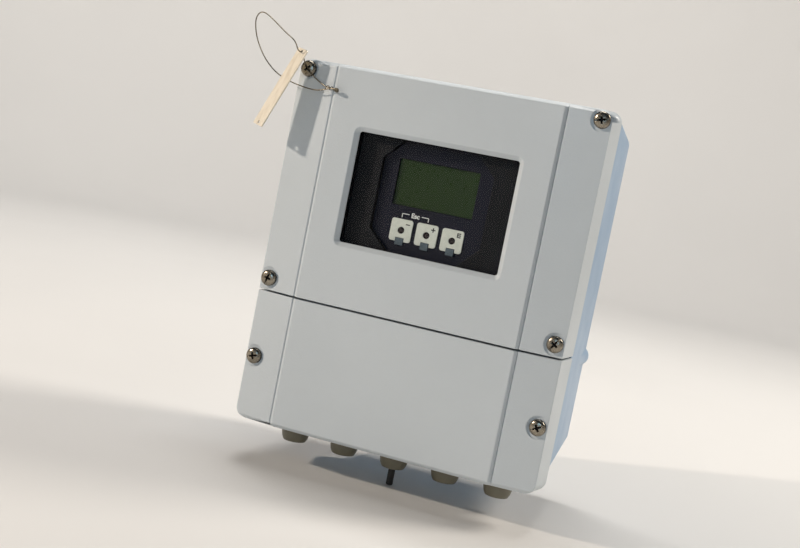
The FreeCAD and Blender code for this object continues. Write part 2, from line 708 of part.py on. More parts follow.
for label, x in KEYS.items():
    key = new_body(label)
    slab(key, "XZ", [box_outline(f"{x} - key_width / 2", f"{x} + key_width / 2",
                                 f"{key_middle} - key_height / 2",
                                 f"{key_middle} + key_height / 2"),
                     (x, key_middle, "sensor_dia / 2 + fit_gap")], "plate_front - key_thick", "plate_front")
    soften(key, "key_round", lambda e: runs_along(e, 1) and len(e.Vertexes) == 2)
    tab = "tab_width / 2 + fit_gap"
    slab(key, "XZ", [box_outline(f"{x} - ({tab})", f"{x} + {tab}", f"{key_middle} - key_height",
                                 f"{key_middle} - key_height / 2 + tab_height / 2 + fit_gap")],
         "plate_front - key_thick", "plate_front", cut=True)
    keep(key)


def in_a_row(label, make):
    """A node of three like pieces, one behind each key."""
    pieces = []
    for number, x in enumerate(KEYS.values(), 1):
        piece = new_body(f"{label}_{number}", x, "plate_front", key_middle, Rotation(Vector(1, 0, 0), 90))
        make(piece)
        pieces.append(piece)
    return keep_together(label, pieces)


in_a_row("key_sensors", lambda piece: turned(piece, [
    ("0", "0"), ("sensor_dia / 2", "0"), ("sensor_dia / 2", "sensor_height * 0.6"),
    ("sensor_dia * 0.35", "sensor_height"), ("0", "sensor_height")]))
in_a_row("key_tabs", lambda piece: slab(piece, "XY", [
    box_outline("-tab_width / 2", "tab_width / 2",
                "-(key_height + tab_height) / 2", "-(key_height - tab_height) / 2")],
    "0", "key_thick * 1.5"))

# ---------------------------------------------------------------------------------------------------------
# Electronics module: a moulded carrier on four posts, three cards, a transformer and a sheet-metal lid
# ---------------------------------------------------------------------------------------------------------
module_carrier = new_body("module_carrier")
half_module = "module_width / 2"
slab(module_carrier, "XZ", [frame_outline(half_module, "module_height / 2", "module_middle")],
     "lid_back", "carrier_back")
slab(module_carrier, "XZ", [frame_outline(f"{half_module} - module_wall", "module_height / 2 - module_wall",
                                          "module_middle")], "lid_back", "carrier_floor", cut=True)
slab(module_carrier, "XZ", [(x, z, "module_post_dia / 2") for x, z in module_posts],
     "lid_back", "carrier_back")
slab(module_carrier, "XZ", [(x, z, "module_screw_dia / 2 + fit_gap") for x, z in module_posts],
     "lid_back", "carrier_back", cut=True)
CARDS = {"power_card": "-module_width / 3", "amplifier_card": "0", "output_card": "module_width / 3"}
inner_height = "module_height / 2 - module_wall"
for x in CARDS.values():
    for wall_side in ("-", ""):
        near = f"{wall_side}({inner_height} - card_rail)"
        far = f"{wall_side}({inner_height} + module_wall / 2)"
        rail = [f"module_middle + {near}", f"module_middle + {far}"]
        slab(module_carrier, "XZ", [box_outline(f"{x} - card_rail_width / 2",
                                                f"{x} + card_rail_width / 2", *rail)],
             "carrier_floor - card_depth", "carrier_back - module_wall / 2")
        slot = "board_thick / 2 + fit_gap"
        slab(module_carrier, "XZ", [box_outline(f"{x} - ({slot})", f"{x} + {slot}",
                                                f"module_middle + {near}",
                                                f"module_middle + {wall_side}({inner_height})")],
             "carrier_floor - card_depth", "carrier_floor", cut=True)
keep(module_carrier)


def card_part(card, x, y_low, y_high, z_low, z_high, thick):
    """A soldered part on the right-hand face of a card, in millimetres from the card's floor and middle."""
    slab(card, "YZ", [box_outline(f"carrier_floor - {y_high}", f"carrier_floor - {y_low}",
                                  f"module_middle + {z_low}", f"module_middle + {z_high}")],
         f"{x} + board_thick / 2", f"{x} + board_thick / 2 + {thick}")


CARD_PARTS = {
    "power_card": [(4, 16, 30, 48, 14), (4, 14, -52, -34, 12), (24, 46, 34, 50, 9)],
    "amplifier_card": [(8, 28, -14, 6, 3), (32, 44, -10, 2, 2.5), (6, 16, 26, 44, 6), (36, 48, 24, 52, 7)],
    "output_card": [(6, 20, 20, 32, 11), (6, 20, 2, 14, 11), (6, 20, -16, -4, 11), (30, 40, -50, -22, 8)],
}
for label, x in CARDS.items():
    card = new_body(label)
    edge = f"{inner_height} - fit_gap"
    slab(card, "YZ", [box_outline("carrier_floor - card_depth + fit_gap", "carrier_floor - fit_gap",
                                  f"module_middle - ({edge})", f"module_middle + {edge}")],
         f"{x} - board_thick / 2", f"{x} + board_thick / 2")
    for part_box in CARD_PARTS[label]:
        card_part(card, x, *part_box)
    keep(card)

transformer = new_body("transformer")
core_x = "-module_width / 3 + board_thick / 2"
core_y = "carrier_floor - card_depth / 2"
slab(transformer, "YZ", [box_outline(f"{core_y} - transformer_depth / 2",
                                     f"{core_y} + transformer_depth / 2",
                                     "module_middle - transformer_height / 2 - 4",
                                     "module_middle + transformer_height / 2 - 4")],
     core_x, f"{core_x} + transformer_width / 2")
slab(transformer, "YZ", [box_outline(f"{core_y} - transformer_depth / 3",
                                     f"{core_y} + transformer_depth / 3",
                                     "module_middle - transformer_height / 3 - 4",
                                     "module_middle + transformer_height / 3 - 4")],
     f"{core_x} + transformer_width / 2", f"{core_x} + transformer_width * 0.8")
keep(transformer)

module_lid = new_body("module_lid")
slab(module_lid, "XZ", [frame_outline(half_module, "module_height / 2", "module_middle")]
     + [(x, z, "module_screw_dia / 2 + fit_gap") for x, z in module_posts], "lid_front", "lid_back")
keep(module_lid)
screw_set("module_screws", module_posts, "lid_front", False, "module_screw_dia / 2 - fit_gap",
          "carrier_back + module_screw_bite - (lid_front) - fit_gap", "module_screw_head_dia / 2",
          "module_screw_head_height")

# ---------------------------------------------------------------------------------------------------------
# Connection compartment: terminal board on four posts, terminal blocks and the ground screw
# ---------------------------------------------------------------------------------------------------------
terminal_board = new_body("terminal_board")
slab(terminal_board, "XZ", [frame_outline("terminal_board_width / 2", "terminal_board_height / 2",
                                          "terminal_board_middle")]
     + [(x, z, "terminal_board_screw_dia / 2") for x, z in terminal_posts], "terminal_face", "terminal_back")
keep(terminal_board)
screw_set("terminal_board_screws", terminal_posts, "terminal_face", False,
          "terminal_board_screw_dia / 2 - fit_gap", "terminal_screw_bite",
          "terminal_board_screw_dia * 0.95", "2")

POLES = {"power_terminals": 4, "sensor_terminals": 8, "signal_terminals": 7}
BLOCK_MIDDLES = {"power_terminals": "-10 * terminal_pitch", "sensor_terminals": "-1.5 * terminal_pitch",
                 "signal_terminals": "8 * terminal_pitch"}
block_low = "terminal_board_middle - terminal_block_height / 2"
block_high = "terminal_board_middle + terminal_block_height / 2"
block_front = "terminal_face - terminal_block_depth"
terminal_spots = []
for label, poles in POLES.items():
    block, middle = new_body(label), BLOCK_MIDDLES[label]
    half = f"{poles / 2} * terminal_pitch"
    slab(block, "XZ", [box_outline(f"{middle} - {half}", f"{middle} + {half}", block_low, block_high)],
         block_front, "terminal_face")
    columns = [f"{middle} + ({k - (poles - 1) / 2}) * terminal_pitch" for k in range(poles)]
    spots = [(x, f"{block_high} - terminal_block_height / 4") for x in columns]
    slab(block, "XZ", [(x, z, "terminal_screw_dia / 2 + fit_gap") for x, z in spots],
         block_front, f"{block_front} + terminal_screw_depth", cut=True)
    slab(block, "XY", [(x, f"{block_front} + terminal_block_depth * 0.4", "wire_entry_dia / 2")
                       for x in columns], block_low, f"{block_low} + wire_entry_depth", cut=True)
    terminal_spots += spots
    keep(block)

terminal_screws = []
for number, (x, z) in enumerate(terminal_spots, 1):
    screw = new_body(f"terminal_screw_{number}", x, f"{block_front} + terminal_screw_depth", z,
                     Rotation(Vector(1, 0, 0), 90))
    turned(screw, box_outline("0", "terminal_screw_dia / 2", "0", "terminal_screw_depth * 0.8"))
    terminal_screws.append(screw)
keep_together("terminal_screws", terminal_screws)

ground_screw = new_body("ground_screw", "ground_x", "-(case_wall + ground_boss_height)",
                        "bottom + ground_height", Rotation(Vector(1, 0, 0), 90))
shank, bite = "ground_screw_dia / 2 - fit_gap", "-ground_boss_height * 0.7"
turned(ground_screw, [("0", bite), (shank, bite), (shank, "0"), ("ground_screw_dia", "0"),
                      ("ground_screw_dia", "1.2"), ("ground_screw_dia * 0.8", "1.2"),
                      ("ground_screw_dia * 0.8", "4"), ("0", "4")])
keep(ground_screw)

# ---------------------------------------------------------------------------------------------------------
# Cable glands: washer, body, cone seal and domed cap nut; a peg shuts the middle one
# ---------------------------------------------------------------------------------------------------------
hexagon = [(f"{c} * gland_flats / sqrt(3)", f"{d} * gland_flats / 2")
           for c, d in ((1, 0), (0.5, 1), (-0.5, 1), (-1, 0), (-0.5, -1), (0.5, -1))]
collar_end = "gland_washer_thick + gland_collar"
neck_end = "gland_washer_thick + gland_collar + gland_neck_length"
nut_start = "gland_washer_thick + gland_collar + gland_nut_gap"
nut_grip_end = f"{nut_start} + gland_nut_grip"
nut_end = f"{nut_grip_end} + gland_nut_dome"
seal_top = "gland_washer_thick + gland_collar"
seal_foot = f"{nut_grip_end} - gland_nut_wall"

gland_washers = []
for number, x in enumerate(GLANDS, 1):
    place = (x, "gland_axis", "gland_seat")
    washer = new_body(f"gland_washer_{number}", *place)
    slab(washer, "XY", [("0", "0", "gland_flats / 2"), ("0", "0", "gland_thread_dia / 2 + fit_gap")],
         "-gland_washer_thick", "0")
    gland_washers.append(washer)

    gland = new_body(f"gland_body_{number}", *place)
    slab(gland, "XY", [hexagon], f"-({collar_end})", "-gland_washer_thick")
    slab(gland, "XY", [("0", "0", "gland_thread_dia / 2")], "-gland_washer_thick", "gland_seat_thick")
    slab(gland, "XY", [("0", "0", "gland_neck_dia / 2")], f"-({neck_end})", f"-({collar_end})")
    slab(gland, "XY", [("0", "0", "gland_bore_dia / 2")], f"-({neck_end})", "gland_seat_thick", cut=True)
    slab(gland, "XY", [("0", "0", "gland_seal_dia / 2 + fit_gap")],
         f"-({neck_end})", f"-({seal_top})", cut=True)
    keep(gland)

    seal = new_body(f"gland_seal_{number}", *place)
    slab(seal, "XY", [("0", "0", "gland_seal_dia / 2"), ("0", "0", "gland_seal_bore_dia / 2")],
         f"-({seal_foot})", f"-({seal_top})")
    keep(seal)

    nut = new_body(f"gland_nut_{number}", *place)
    dome = "gland_flats / 2 - 0.2"
    turned(nut, [("0", f"-({nut_grip_end})"), (dome, f"-({nut_grip_end})"),
                 (dome, f"-({nut_grip_end} + gland_nut_dome * 0.35)"),
                 (f"({dome}) * 0.93", f"-({nut_grip_end} + gland_nut_dome * 0.7)"),
                 (f"({dome}) * 0.8", f"-({nut_end})"), ("0", f"-({nut_end})")])
    slab(nut, "XY", [hexagon], f"-({nut_grip_end})", f"-({nut_start})")
    slab(nut, "XY", [("0", "0", "gland_neck_dia / 2 + fit_gap")],
         f"-({seal_foot})", f"-({nut_start})", cut=True)
    slab(nut, "XY", [("0", "0", "gland_mouth_dia / 2")], f"-({nut_end})", f"-({seal_foot})", cut=True)
    keep(nut)

keep_together("gland_washers", gland_washers)

blind_plug = new_body("blind_plug", "0", "gland_axis", "gland_seat")
plug_end = f"{nut_end} + plug_reach"
turned(blind_plug, [("0", f"-({plug_end})"), ("plug_dia / 2 - 0.4", f"-({plug_end})"),
                    ("plug_dia / 2", f"-({plug_end} - 0.4)"), ("plug_dia / 2", f"-({seal_top})"),
                    ("plug_dia * 0.8", f"-({seal_top})"), ("plug_dia * 0.8", f"-({seal_top} - 1.5)"),
                    ("0", f"-({seal_top} - 1.5)")])
keep(blind_plug)

# ---------------------------------------------------------------------------------------------------------
# Seal: a tag plate on a loop of stiff wire, threaded through the eye of the upper left cover screw
# ---------------------------------------------------------------------------------------------------------
tag_turn = Rotation(Vector(1, 0, 0), size("tag_tilt"))
for axis, angle in ((Vector(0, 1, 0), "tag_lean"), (Vector(0, 0, 1), "tag_turn")):
    tag_turn = tag_turn.multiply(Rotation(axis, size(angle)))
tag_plate = new_body("tag_plate", "-(screw_side) - 2.8", "front - 5", "screw_top + 9.25", tag_turn)
slab(tag_plate, "XZ", [box_outline("-tag_width / 2", "tag_width / 2", "tag_hole_margin - tag_length",
                                   "tag_hole_margin")], "-tag_thick / 2", "tag_thick / 2")
soften(tag_plate, "tag_round", lambda e: runs_along(e, 1))
slab(tag_plate, "XZ", [("0", "0", "tag_hole_dia / 2"),
                       ("0", "2 * tag_hole_margin - tag_length", "tag_hole_dia / 2")],
     "-tag_thick / 2", "tag_thick / 2", cut=True)
keep(tag_plate)

# Corners of the wire's two ends from the middle of the eye, across, towards the wall and up; the tangent
# arcs between the straight runs round them off
LONG_ROUTE = [(0, 0, 0), (-5.1, 0, 5.1), (-2.2, -4.4, 10.3), (-3.5, -12.8, 8.1), (-4.6, -17.6, 14.6),
              (-12.6, -16.6, 18.6), (-28.6, -14.6, 29.0), (-34.6, -13.8, 30.5), (-38.2, -12.8, 25.9),
              (-37.4, -11.0, 17.5), (-34.4, -9.0, 9.3), (-28.3, -6.6, 0), (-20.3, -4.2, -7.0),
              (-9.4, -3.6, -11.2), (8.7, -4.6, -14.1), (17.2, -5.8, -12.2), (22.4, -6.8, -10.4),
              (27.0, -7.6, -11.1)]
SHORT_ROUTE = [(0, 0, 0), (4.6, 0, -4.6), (10.0, -1.6, -7.4), (15.4, -3.4, -9.9), (20.6, -5.2, -10.6),
               (26.9, -6.8, -11.9)]
ARC_SHARE = 0.45


def bent_wire(points, diameter):
    """A round wire along straight runs joined by tangent arcs as large as the runs allow."""
    edges, here, tightest = [], points[0], math.inf
    for before, corner, after in zip(points, points[1:], points[2:]):
        came, goes = (corner - before), (after - corner)
        cut_back = ARC_SHARE * min(came.Length, goes.Length)
        turn = came.getAngle(goes)
        start = corner - came.normalize() * cut_back
        end = corner + goes.normalize() * cut_back
        edges += [Part.LineSegment(here, start), Part.Arc(start, arc_middle(start, corner, end, turn), end)]
        tightest = min(tightest, cut_back / math.tan(turn / 2))
        here = end
    edges.append(Part.LineSegment(here, points[-1]))
    path = Part.Wire([edge.toShape() for edge in edges])
    along = points[1] - points[0]
    section = Part.Wire([Part.Circle(points[0], along, diameter / 2).toShape()])
    return path.makePipeShell([section], True, True), path.Length, tightest


def arc_middle(start, corner, end, turn):
    """The middle of the arc that is tangent to both runs at start and end."""
    chord_middle = (start + end) / 2
    outward = corner - chord_middle
    radius = (start - corner).Length / math.tan(turn / 2)
    return chord_middle + outward.normalize() * radius * (1 - math.cos(turn / 2))


doc.recompute()
eye = cover_screws["upper_left"].Placement.multVec(Vector(0, 0, size("eye_height")))
for label, route in (("seal_wire_long", LONG_ROUTE), ("seal_wire_short", SHORT_ROUTE)):
    shape, length, tightest = bent_wire([eye + Vector(*point) for point in route], size("wire_dia"))
    wire = doc.addObject("Part::Feature", label)
    wire.Shape = shape
    keep(wire)
    expected = math.pi * size("wire_dia") ** 2 / 4 * length
    print(f"{label}: {length:.1f} mm, tightest bend {tightest:.1f} mm, "
          f"volume {shape.Volume / expected:.3f} of section times length")

# ---------------------------------------------------------------------------------------------------------
# Checks and files
# ---------------------------------------------------------------------------------------------------------
doc.recompute()
failed = [thing.Label for thing in doc.Objects if {"Invalid", "Error"} & set(thing.State)]
if failed:
    raise RuntimeError(f"features that failed: {failed}")
os.makedirs("parts", exist_ok=True)
for node in nodes:
    if node.Shape.isNull() or not node.Shape.isValid():
        raise RuntimeError(f"{node.Label} has no valid shape")
    node.Shape.exportStep(f"parts/{node.Label}.step")
print(f"{len(nodes)} nodes written")
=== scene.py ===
import math

import bmesh
import bpy
from mathutils import Matrix, Vector


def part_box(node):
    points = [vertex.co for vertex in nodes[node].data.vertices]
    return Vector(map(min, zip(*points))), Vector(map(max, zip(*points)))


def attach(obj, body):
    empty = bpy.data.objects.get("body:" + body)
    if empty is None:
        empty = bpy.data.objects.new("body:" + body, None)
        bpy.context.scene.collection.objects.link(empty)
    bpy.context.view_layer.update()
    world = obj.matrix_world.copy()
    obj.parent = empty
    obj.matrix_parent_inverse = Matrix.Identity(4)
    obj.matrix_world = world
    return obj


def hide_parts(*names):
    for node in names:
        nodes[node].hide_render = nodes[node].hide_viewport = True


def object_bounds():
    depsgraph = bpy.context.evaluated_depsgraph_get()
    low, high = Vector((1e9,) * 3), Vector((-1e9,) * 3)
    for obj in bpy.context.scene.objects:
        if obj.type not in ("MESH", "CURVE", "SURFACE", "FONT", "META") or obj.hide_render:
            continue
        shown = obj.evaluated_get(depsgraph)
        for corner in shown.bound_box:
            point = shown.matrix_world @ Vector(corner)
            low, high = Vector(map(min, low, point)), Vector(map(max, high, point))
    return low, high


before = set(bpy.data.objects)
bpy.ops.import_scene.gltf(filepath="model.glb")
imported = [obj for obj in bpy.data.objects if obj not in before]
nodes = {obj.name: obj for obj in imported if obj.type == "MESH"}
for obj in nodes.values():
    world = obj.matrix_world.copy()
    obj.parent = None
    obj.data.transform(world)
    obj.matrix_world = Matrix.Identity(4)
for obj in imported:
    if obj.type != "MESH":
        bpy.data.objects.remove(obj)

solid_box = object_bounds()

# ---------------------------------------------------------------------------------------------------------
# Viewpoint: a hand camera held a little above the middle of the casing and rolled, because the transmitter
# itself leans; it looks at the front and the right side.
# ---------------------------------------------------------------------------------------------------------
def new_object(name, data):
    """An object in the scene that holds the given data."""
    thing = bpy.data.objects.new(name, data)
    bpy.context.scene.collection.objects.link(thing)
    return thing


viewpoint = new_object("viewpoint", bpy.data.cameras.new("viewpoint"))
viewpoint.data.sensor_width = 36.0
viewpoint.data.lens = 55.755
viewpoint.location = (0.2307, -0.8974, 0.1019)
viewpoint.rotation_euler = [math.radians(turn) for turn in (85.478674, -11.258712, 18.255708)]
bpy.context.scene.camera = viewpoint


# ---------------------------------------------------------------------------------------------------------
# Seal wires: the two strands of one stiff stainless wire. The long one leaves the drilled head of the upper
# left cover screw, loops through the tag and comes back; both ends are twisted together over the cover.
# ---------------------------------------------------------------------------------------------------------
def rgb(red, green, blue):
    """A display colour, 0 to 255, as the linear colour that a shader takes."""
    steps = [level / 255.0 for level in (red, green, blue)]
    return tuple(s / 12.92 if s <= 0.04045 else ((s + 0.055) / 1.055) ** 2.4 for s in steps)


def set_shader(finish, **constants):
    """Sets constants on the shader's own sockets; an underscore stands for a space in a socket's name."""
    shader = finish.node_tree.nodes["Principled BSDF"]
    for label, value in constants.items():
        shader.inputs[label.replace("_", " ")].default_value = value


def new_finish(name, colour, roughness, metallic=0.0):
    """A material with one Principled shader."""
    finish = bpy.data.materials.new(name)
    finish.use_nodes = True
    set_shader(finish, Base_Color=(*colour, 1.0), Roughness=roughness, Metallic=metallic)
    return finish


def cloud(finish, scale, detail=2.0, stretch=(1.0, 1.0, 1.0)):
    """Noise over the piece's own coordinates, scale in spots per metre; stretch squeezes it along an axis."""
    tree = finish.node_tree
    place = tree.nodes.new("ShaderNodeTexCoord")
    squeeze = tree.nodes.new("ShaderNodeMapping")
    squeeze.inputs["Scale"].default_value = stretch
    noise = tree.nodes.new("ShaderNodeTexNoise")
    noise.inputs["Scale"].default_value = scale
    noise.inputs["Detail"].default_value = detail
    tree.links.new(place.outputs["Object"], squeeze.inputs["Vector"])
    tree.links.new(squeeze.outputs["Vector"], noise.inputs["Vector"])
    return noise.outputs["Fac"]


def levels(finish, pattern, low, high, start=0.3, stop=0.7):
    """Maps a pattern's range from start to stop onto low to high."""
    reach = finish.node_tree.nodes.new("ShaderNodeMapRange")
    reach.inputs["From Min"].default_value = start
    reach.inputs["From Max"].default_value = stop
    reach.inputs["To Min"].default_value = low
    reach.inputs["To Max"].default_value = high
    finish.node_tree.links.new(pattern, reach.inputs["Value"])
    return reach.outputs["Result"]


def vary_roughness(finish, pattern, low, high):
    """Lets a pattern move the roughness between two values."""
    shader = finish.node_tree.nodes["Principled BSDF"]
    finish.node_tree.links.new(levels(finish, pattern, low, high), shader.inputs["Roughness"])


MIX_SHARE, MIX_FIRST, MIX_SECOND, MIX_RESULT = 0, 6, 7, 2  # a Mix node's sockets when it mixes colours


def vary_colour(finish, pattern, colour, start=0.3, stop=0.7):
    """Lets a pattern carry the colour from what it is to a second one."""
    tree = finish.node_tree
    socket = tree.nodes["Principled BSDF"].inputs["Base Color"]
    mix = tree.nodes.new("ShaderNodeMix")
    mix.data_type = "RGBA"
    if socket.is_linked:
        tree.links.new(socket.links[0].from_socket, mix.inputs[MIX_FIRST])
    else:
        mix.inputs[MIX_FIRST].default_value = socket.default_value[:]
    mix.inputs[MIX_SECOND].default_value = (*colour, 1.0)
    tree.links.new(levels(finish, pattern, 0.0, 1.0, start, stop), mix.inputs[MIX_SHARE])
    tree.links.new(mix.outputs[MIX_RESULT], socket)


def add_relief(finish, pattern, depth, strength=1.0):
    """Raises the surface by a pattern, depth in metres, on top of the reliefs it has already."""
    tree = finish.node_tree
    normal = tree.nodes["Principled BSDF"].inputs["Normal"]
    bump = tree.nodes.new("ShaderNodeBump")
    bump.inputs["Distance"].default_value = depth
    bump.inputs["Strength"].default_value = strength
    tree.links.new(pattern, bump.inputs["Height"])
    if normal.is_linked:
        tree.links.new(normal.links[0].from_socket, bump.inputs["Normal"])
    tree.links.new(bump.outputs["Normal"], normal)


wire_steel = new_finish("wire_steel", rgb(132, 124, 108), 0.34, 1.0)
vary_roughness(wire_steel, cloud(wire_steel, 900.0, 3.0), 0.22, 0.42)
vary_colour(wire_steel, cloud(wire_steel, 260.0), rgb(92, 85, 73))
add_relief(wire_steel, cloud(wire_steel, 2600.0, 2.0), 0.00002, 0.5)

MILLIMETRE = 0.001
WIRE_DIAMETER = 0.0008
HEAD_HEIGHT = 0.004  # of a cover screw
EYE_HEIGHT = 0.0024  # of the hole drilled through that head, above its seat


def screw_seat(node):
    """The middle of the ring on which the head of a cover screw stands."""
    low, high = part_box(node)
    return Vector(((low.x + high.x) / 2, low.y + HEAD_HEIGHT, (low.z + high.z) / 2))


EYE = screw_seat("cover_screw_upper_left") - Vector((0.0, EYE_HEIGHT, 0.0))
STRANDS = {  # length in metres; corners of the run in millimetres from the eye, across, towards the wall and up
    "seal_wire_long": (0.1560, [
        (0, 0, 0), (-5.1, 0, 5.1), (-2.2, -4.4, 10.3), (-3.5, -12.8, 8.1), (-4.6, -17.6, 14.6),
        (-12.6, -16.6, 18.6), (-28.6, -14.6, 29.0), (-34.6, -13.8, 30.5), (-38.2, -12.8, 25.9),
        (-37.4, -11.0, 17.5), (-34.4, -9.0, 9.3), (-28.3, -6.6, 0), (-20.3, -4.2, -7.0),
        (-9.4, -3.6, -11.2), (8.7, -4.6, -14.1), (17.2, -5.8, -12.2), (22.4, -6.8, -10.4),
        (27.0, -7.6, -11.1)]),
    "seal_wire_short": (0.0311, [
        (0, 0, 0), (4.6, 0, -4.6), (10.0, -1.6, -7.4), (15.4, -3.4, -9.9), (20.6, -5.2, -10.6),
        (26.9, -6.8, -11.9)]),
}


def new_wire(name, points, width):
    """A round wire along one smooth spline, its points in metres."""
    line = bpy.data.curves.new(name, "CURVE")
    line.dimensions = "3D"
    spline = line.splines.new("NURBS")
    spline.points.add(len(points) - 1)
    for point, place in zip(spline.points, points):
        point.co = (*place, 1.0)
    spline.order_u = 3
    spline.use_endpoint_u = True
    spline.resolution_u = 12
    line.bevel_depth = width / 2
    line.bevel_resolution = 4
    line.use_fill_caps = True
    line.materials.append(wire_steel)
    return new_object(name, line)


def line_of(wire):
    """The points along a wire's own spline, from its start to its end."""
    bare = wire.data.copy()
    bare.bevel_depth = 0.0
    carrier = bpy.data.objects.new("carrier", bare)
    mesh = bpy.data.meshes.new_from_object(carrier)
    points = [corner.co.copy() for corner in mesh.vertices]
    bpy.data.objects.remove(carrier)
    bpy.data.curves.remove(bare)
    bpy.data.meshes.remove(mesh)
    return points


strands = {}
for strand, (_, corners) in STRANDS.items():
    run = [EYE + Vector(corner) * MILLIMETRE for corner in corners]
    strands[strand] = new_wire(strand + "_strand", run, WIRE_DIAMETER)
LAST, BEFORE_LAST = -1, -9  # the two points of a run's line that give the direction of its end
long_end, short_end = (line_of(strands[strand])[LAST] for strand in STRANDS)
long_back, short_back = (line_of(strands[strand])[BEFORE_LAST] for strand in STRANDS)
end_middle = (long_end + short_end) / 2
along = (end_middle - (long_back + short_back) / 2).normalized()
across = (long_end - short_end).normalized()
upright = along.cross(across)

STEPS_A_TURN = 16
FLATNESS = 0.75  # a winding is lower than it is wide, since it goes round two strands side by side
TWIST_LENGTH = 0.0105
KNOT_LENGTH = 0.0026


def winding(name, start, stop, turns, reach, width):
    """Wire wound round both strands between two distances back from their ends."""
    steps = round(turns * STEPS_A_TURN)
    points = []
    for step in range(steps + 1):
        angle = 2 * math.pi * turns * step / steps
        back = start + (stop - start) * step / steps
        points.append(end_middle - along * back
                      + (across * math.cos(angle) + upright * math.sin(angle) * FLATNESS) * reach)
    wire = new_wire(name, points, width)
    mesh = bpy.data.meshes.new_from_object(wire)
    bpy.data.objects.remove(wire)
    return new_object(name, mesh)


twist = winding("seal_wire_twist", start=KNOT_LENGTH, stop=TWIST_LENGTH, turns=2.5,
                reach=0.00118, width=0.0006)
knot = winding("seal_wire_knot", start=0.0002, stop=KNOT_LENGTH, turns=3.5,
               reach=0.00125, width=0.0007)
for strand, (wire_length, _) in STRANDS.items():
    held = [twist, knot] if strand == "seal_wire_long" else []
    for piece in [strands[strand]] + held:
        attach(piece, "root")
    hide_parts(strand)

# ---------------------------------------------------------------------------------------------------------
# Studio: a pale sweep that runs from the floor up to a wall all round, with no line between them. A warm
# lamp stands on the left, wide ones hang behind and above, and weak daylight comes from behind the camera.
# ---------------------------------------------------------------------------------------------------------
FLOOR_RADIUS = 2.1
SWEEP_RADIUS = 0.9
WALL_HEIGHT = 1.15
FLOOR_GAP = 0.0003
BEND_STEPS = 12
floor_level = solid_box[0].z - FLOOR_GAP
sweep_line = [(0.0, floor_level), (FLOOR_RADIUS, floor_level)]
for step in range(1, BEND_STEPS + 1):
    angle = math.pi / 2 * step / BEND_STEPS
    sweep_line.append((FLOOR_RADIUS + SWEEP_RADIUS * math.sin(angle),
                       floor_level + SWEEP_RADIUS * (1 - math.cos(angle))))
sweep_line.append((FLOOR_RADIUS + SWEEP_RADIUS, floor_level + WALL_HEIGHT))


def as_piece(name, shape, finish):
    """Turns a shape in the making into an object with its finish."""
    mesh = bpy.data.meshes.new(name)
    shape.to_mesh(mesh)
    shape.free()
    mesh.materials.append(finish)
    return new_object(name, mesh)


def spun(name, outline, finish, segments):
    """A piece turned from an outline of (radius, height) about the upright axis."""
    shape = bmesh.new()
    rows = [shape.verts.new((radius, 0.0, height)) for radius, height in outline]
    edges = [shape.edges.new(pair) for pair in zip(rows, rows[1:])]
    bmesh.ops.spin(shape, geom=rows + edges, axis=(0, 0, 1), cent=(0, 0, 0), steps=segments,
                   angle=2 * math.pi, use_duplicate=False)
    bmesh.ops.remove_doubles(shape, verts=shape.verts, dist=1e-6)
    bmesh.ops.recalc_face_normals(shape, faces=shape.faces)
    for face in shape.faces:
        face.smooth = True
    return as_piece(name, shape, finish)


sweep_paint = new_finish("sweep_paint", rgb(218, 216, 213), 0.75)
vary_roughness(sweep_paint, cloud(sweep_paint, 6.0), 0.68, 0.82)
vary_colour(sweep_paint, cloud(sweep_paint, 1.1), rgb(213, 211, 208))
add_relief(sweep_paint, cloud(sweep_paint, 220.0, 3.0), 0.0002, 0.3)
sweep = spun("studio_sweep", sweep_line, sweep_paint, segments=96)

casing_middle = (0.0, -0.07, 0.05)
LAMPS = {  # place, what it points at, width, power and colour
    "left_lamp": ((-1.72, -1.45, 1.00), casing_middle, 0.11, 35.0, (1.0, 0.87, 0.74)),
    "rear_lamp": ((1.50, 0.80, 1.50), casing_middle, 0.80, 32.0, (1.0, 0.93, 0.84)),
    "ceiling_lamp": ((0.10, 0.10, 2.60), casing_middle, 1.00, 19.0, (1.0, 0.98, 0.95)),
    "daylight": ((0.10, -2.20, 0.42), casing_middle, 0.45, 3.0, (0.36, 0.68, 1.0)),
    "wall_lamp": ((-0.6, 0.50, 2.30), (-0.6, 3.0, 0.3), 1.00, 41.0, (1.0, 0.99, 0.97)),
}
for lamp_name, (place, aim, width, power, colour) in LAMPS.items():
    lamp = bpy.data.lights.new(lamp_name, "AREA")
    lamp.shape = "DISK"
    lamp.size = width
    lamp.energy = power
    lamp.color = colour
    stand = new_object(lamp_name, lamp)
    stand.location = place
    stand.rotation_euler = (Vector(aim) - Vector(place)).to_track_quat("-Z", "Y").to_euler()

room = bpy.data.worlds.new("room")
room.use_nodes = True
sky = room.node_tree.nodes["Background"]
sky.inputs["Color"].default_value = (0.50, 0.72, 1.0, 1.0)
sky.inputs["Strength"].default_value = 0.06
bpy.context.scene.world = room
bpy.context.scene.view_settings.view_transform = "Standard"

# ---------------------------------------------------------------------------------------------------------
# Rear housing: a deep die-cast aluminium tray with drafted sides, powder coated pale blue. It carries the
# wall bores, the gland row and everything inside; its edges are rounded by the die and by the paint.
# ---------------------------------------------------------------------------------------------------------
SHARP = math.radians(30.0)  # edges that turn by more are rounded
FLAT = math.radians(0.4)  # faces that turn by less become one
SAME_PLACE = 3e-6  # corners nearer to each other than this become one
FLATS_WEIGHT = 90  # how much more a large face counts in the shading of its corners


def finished(piece, slot_name, *replaced):
    """Hides the solids that a finished piece stands for and hangs the piece on its body; slot_name is not used.
    """
    if replaced:
        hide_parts(*replaced)
    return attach(piece, "root")


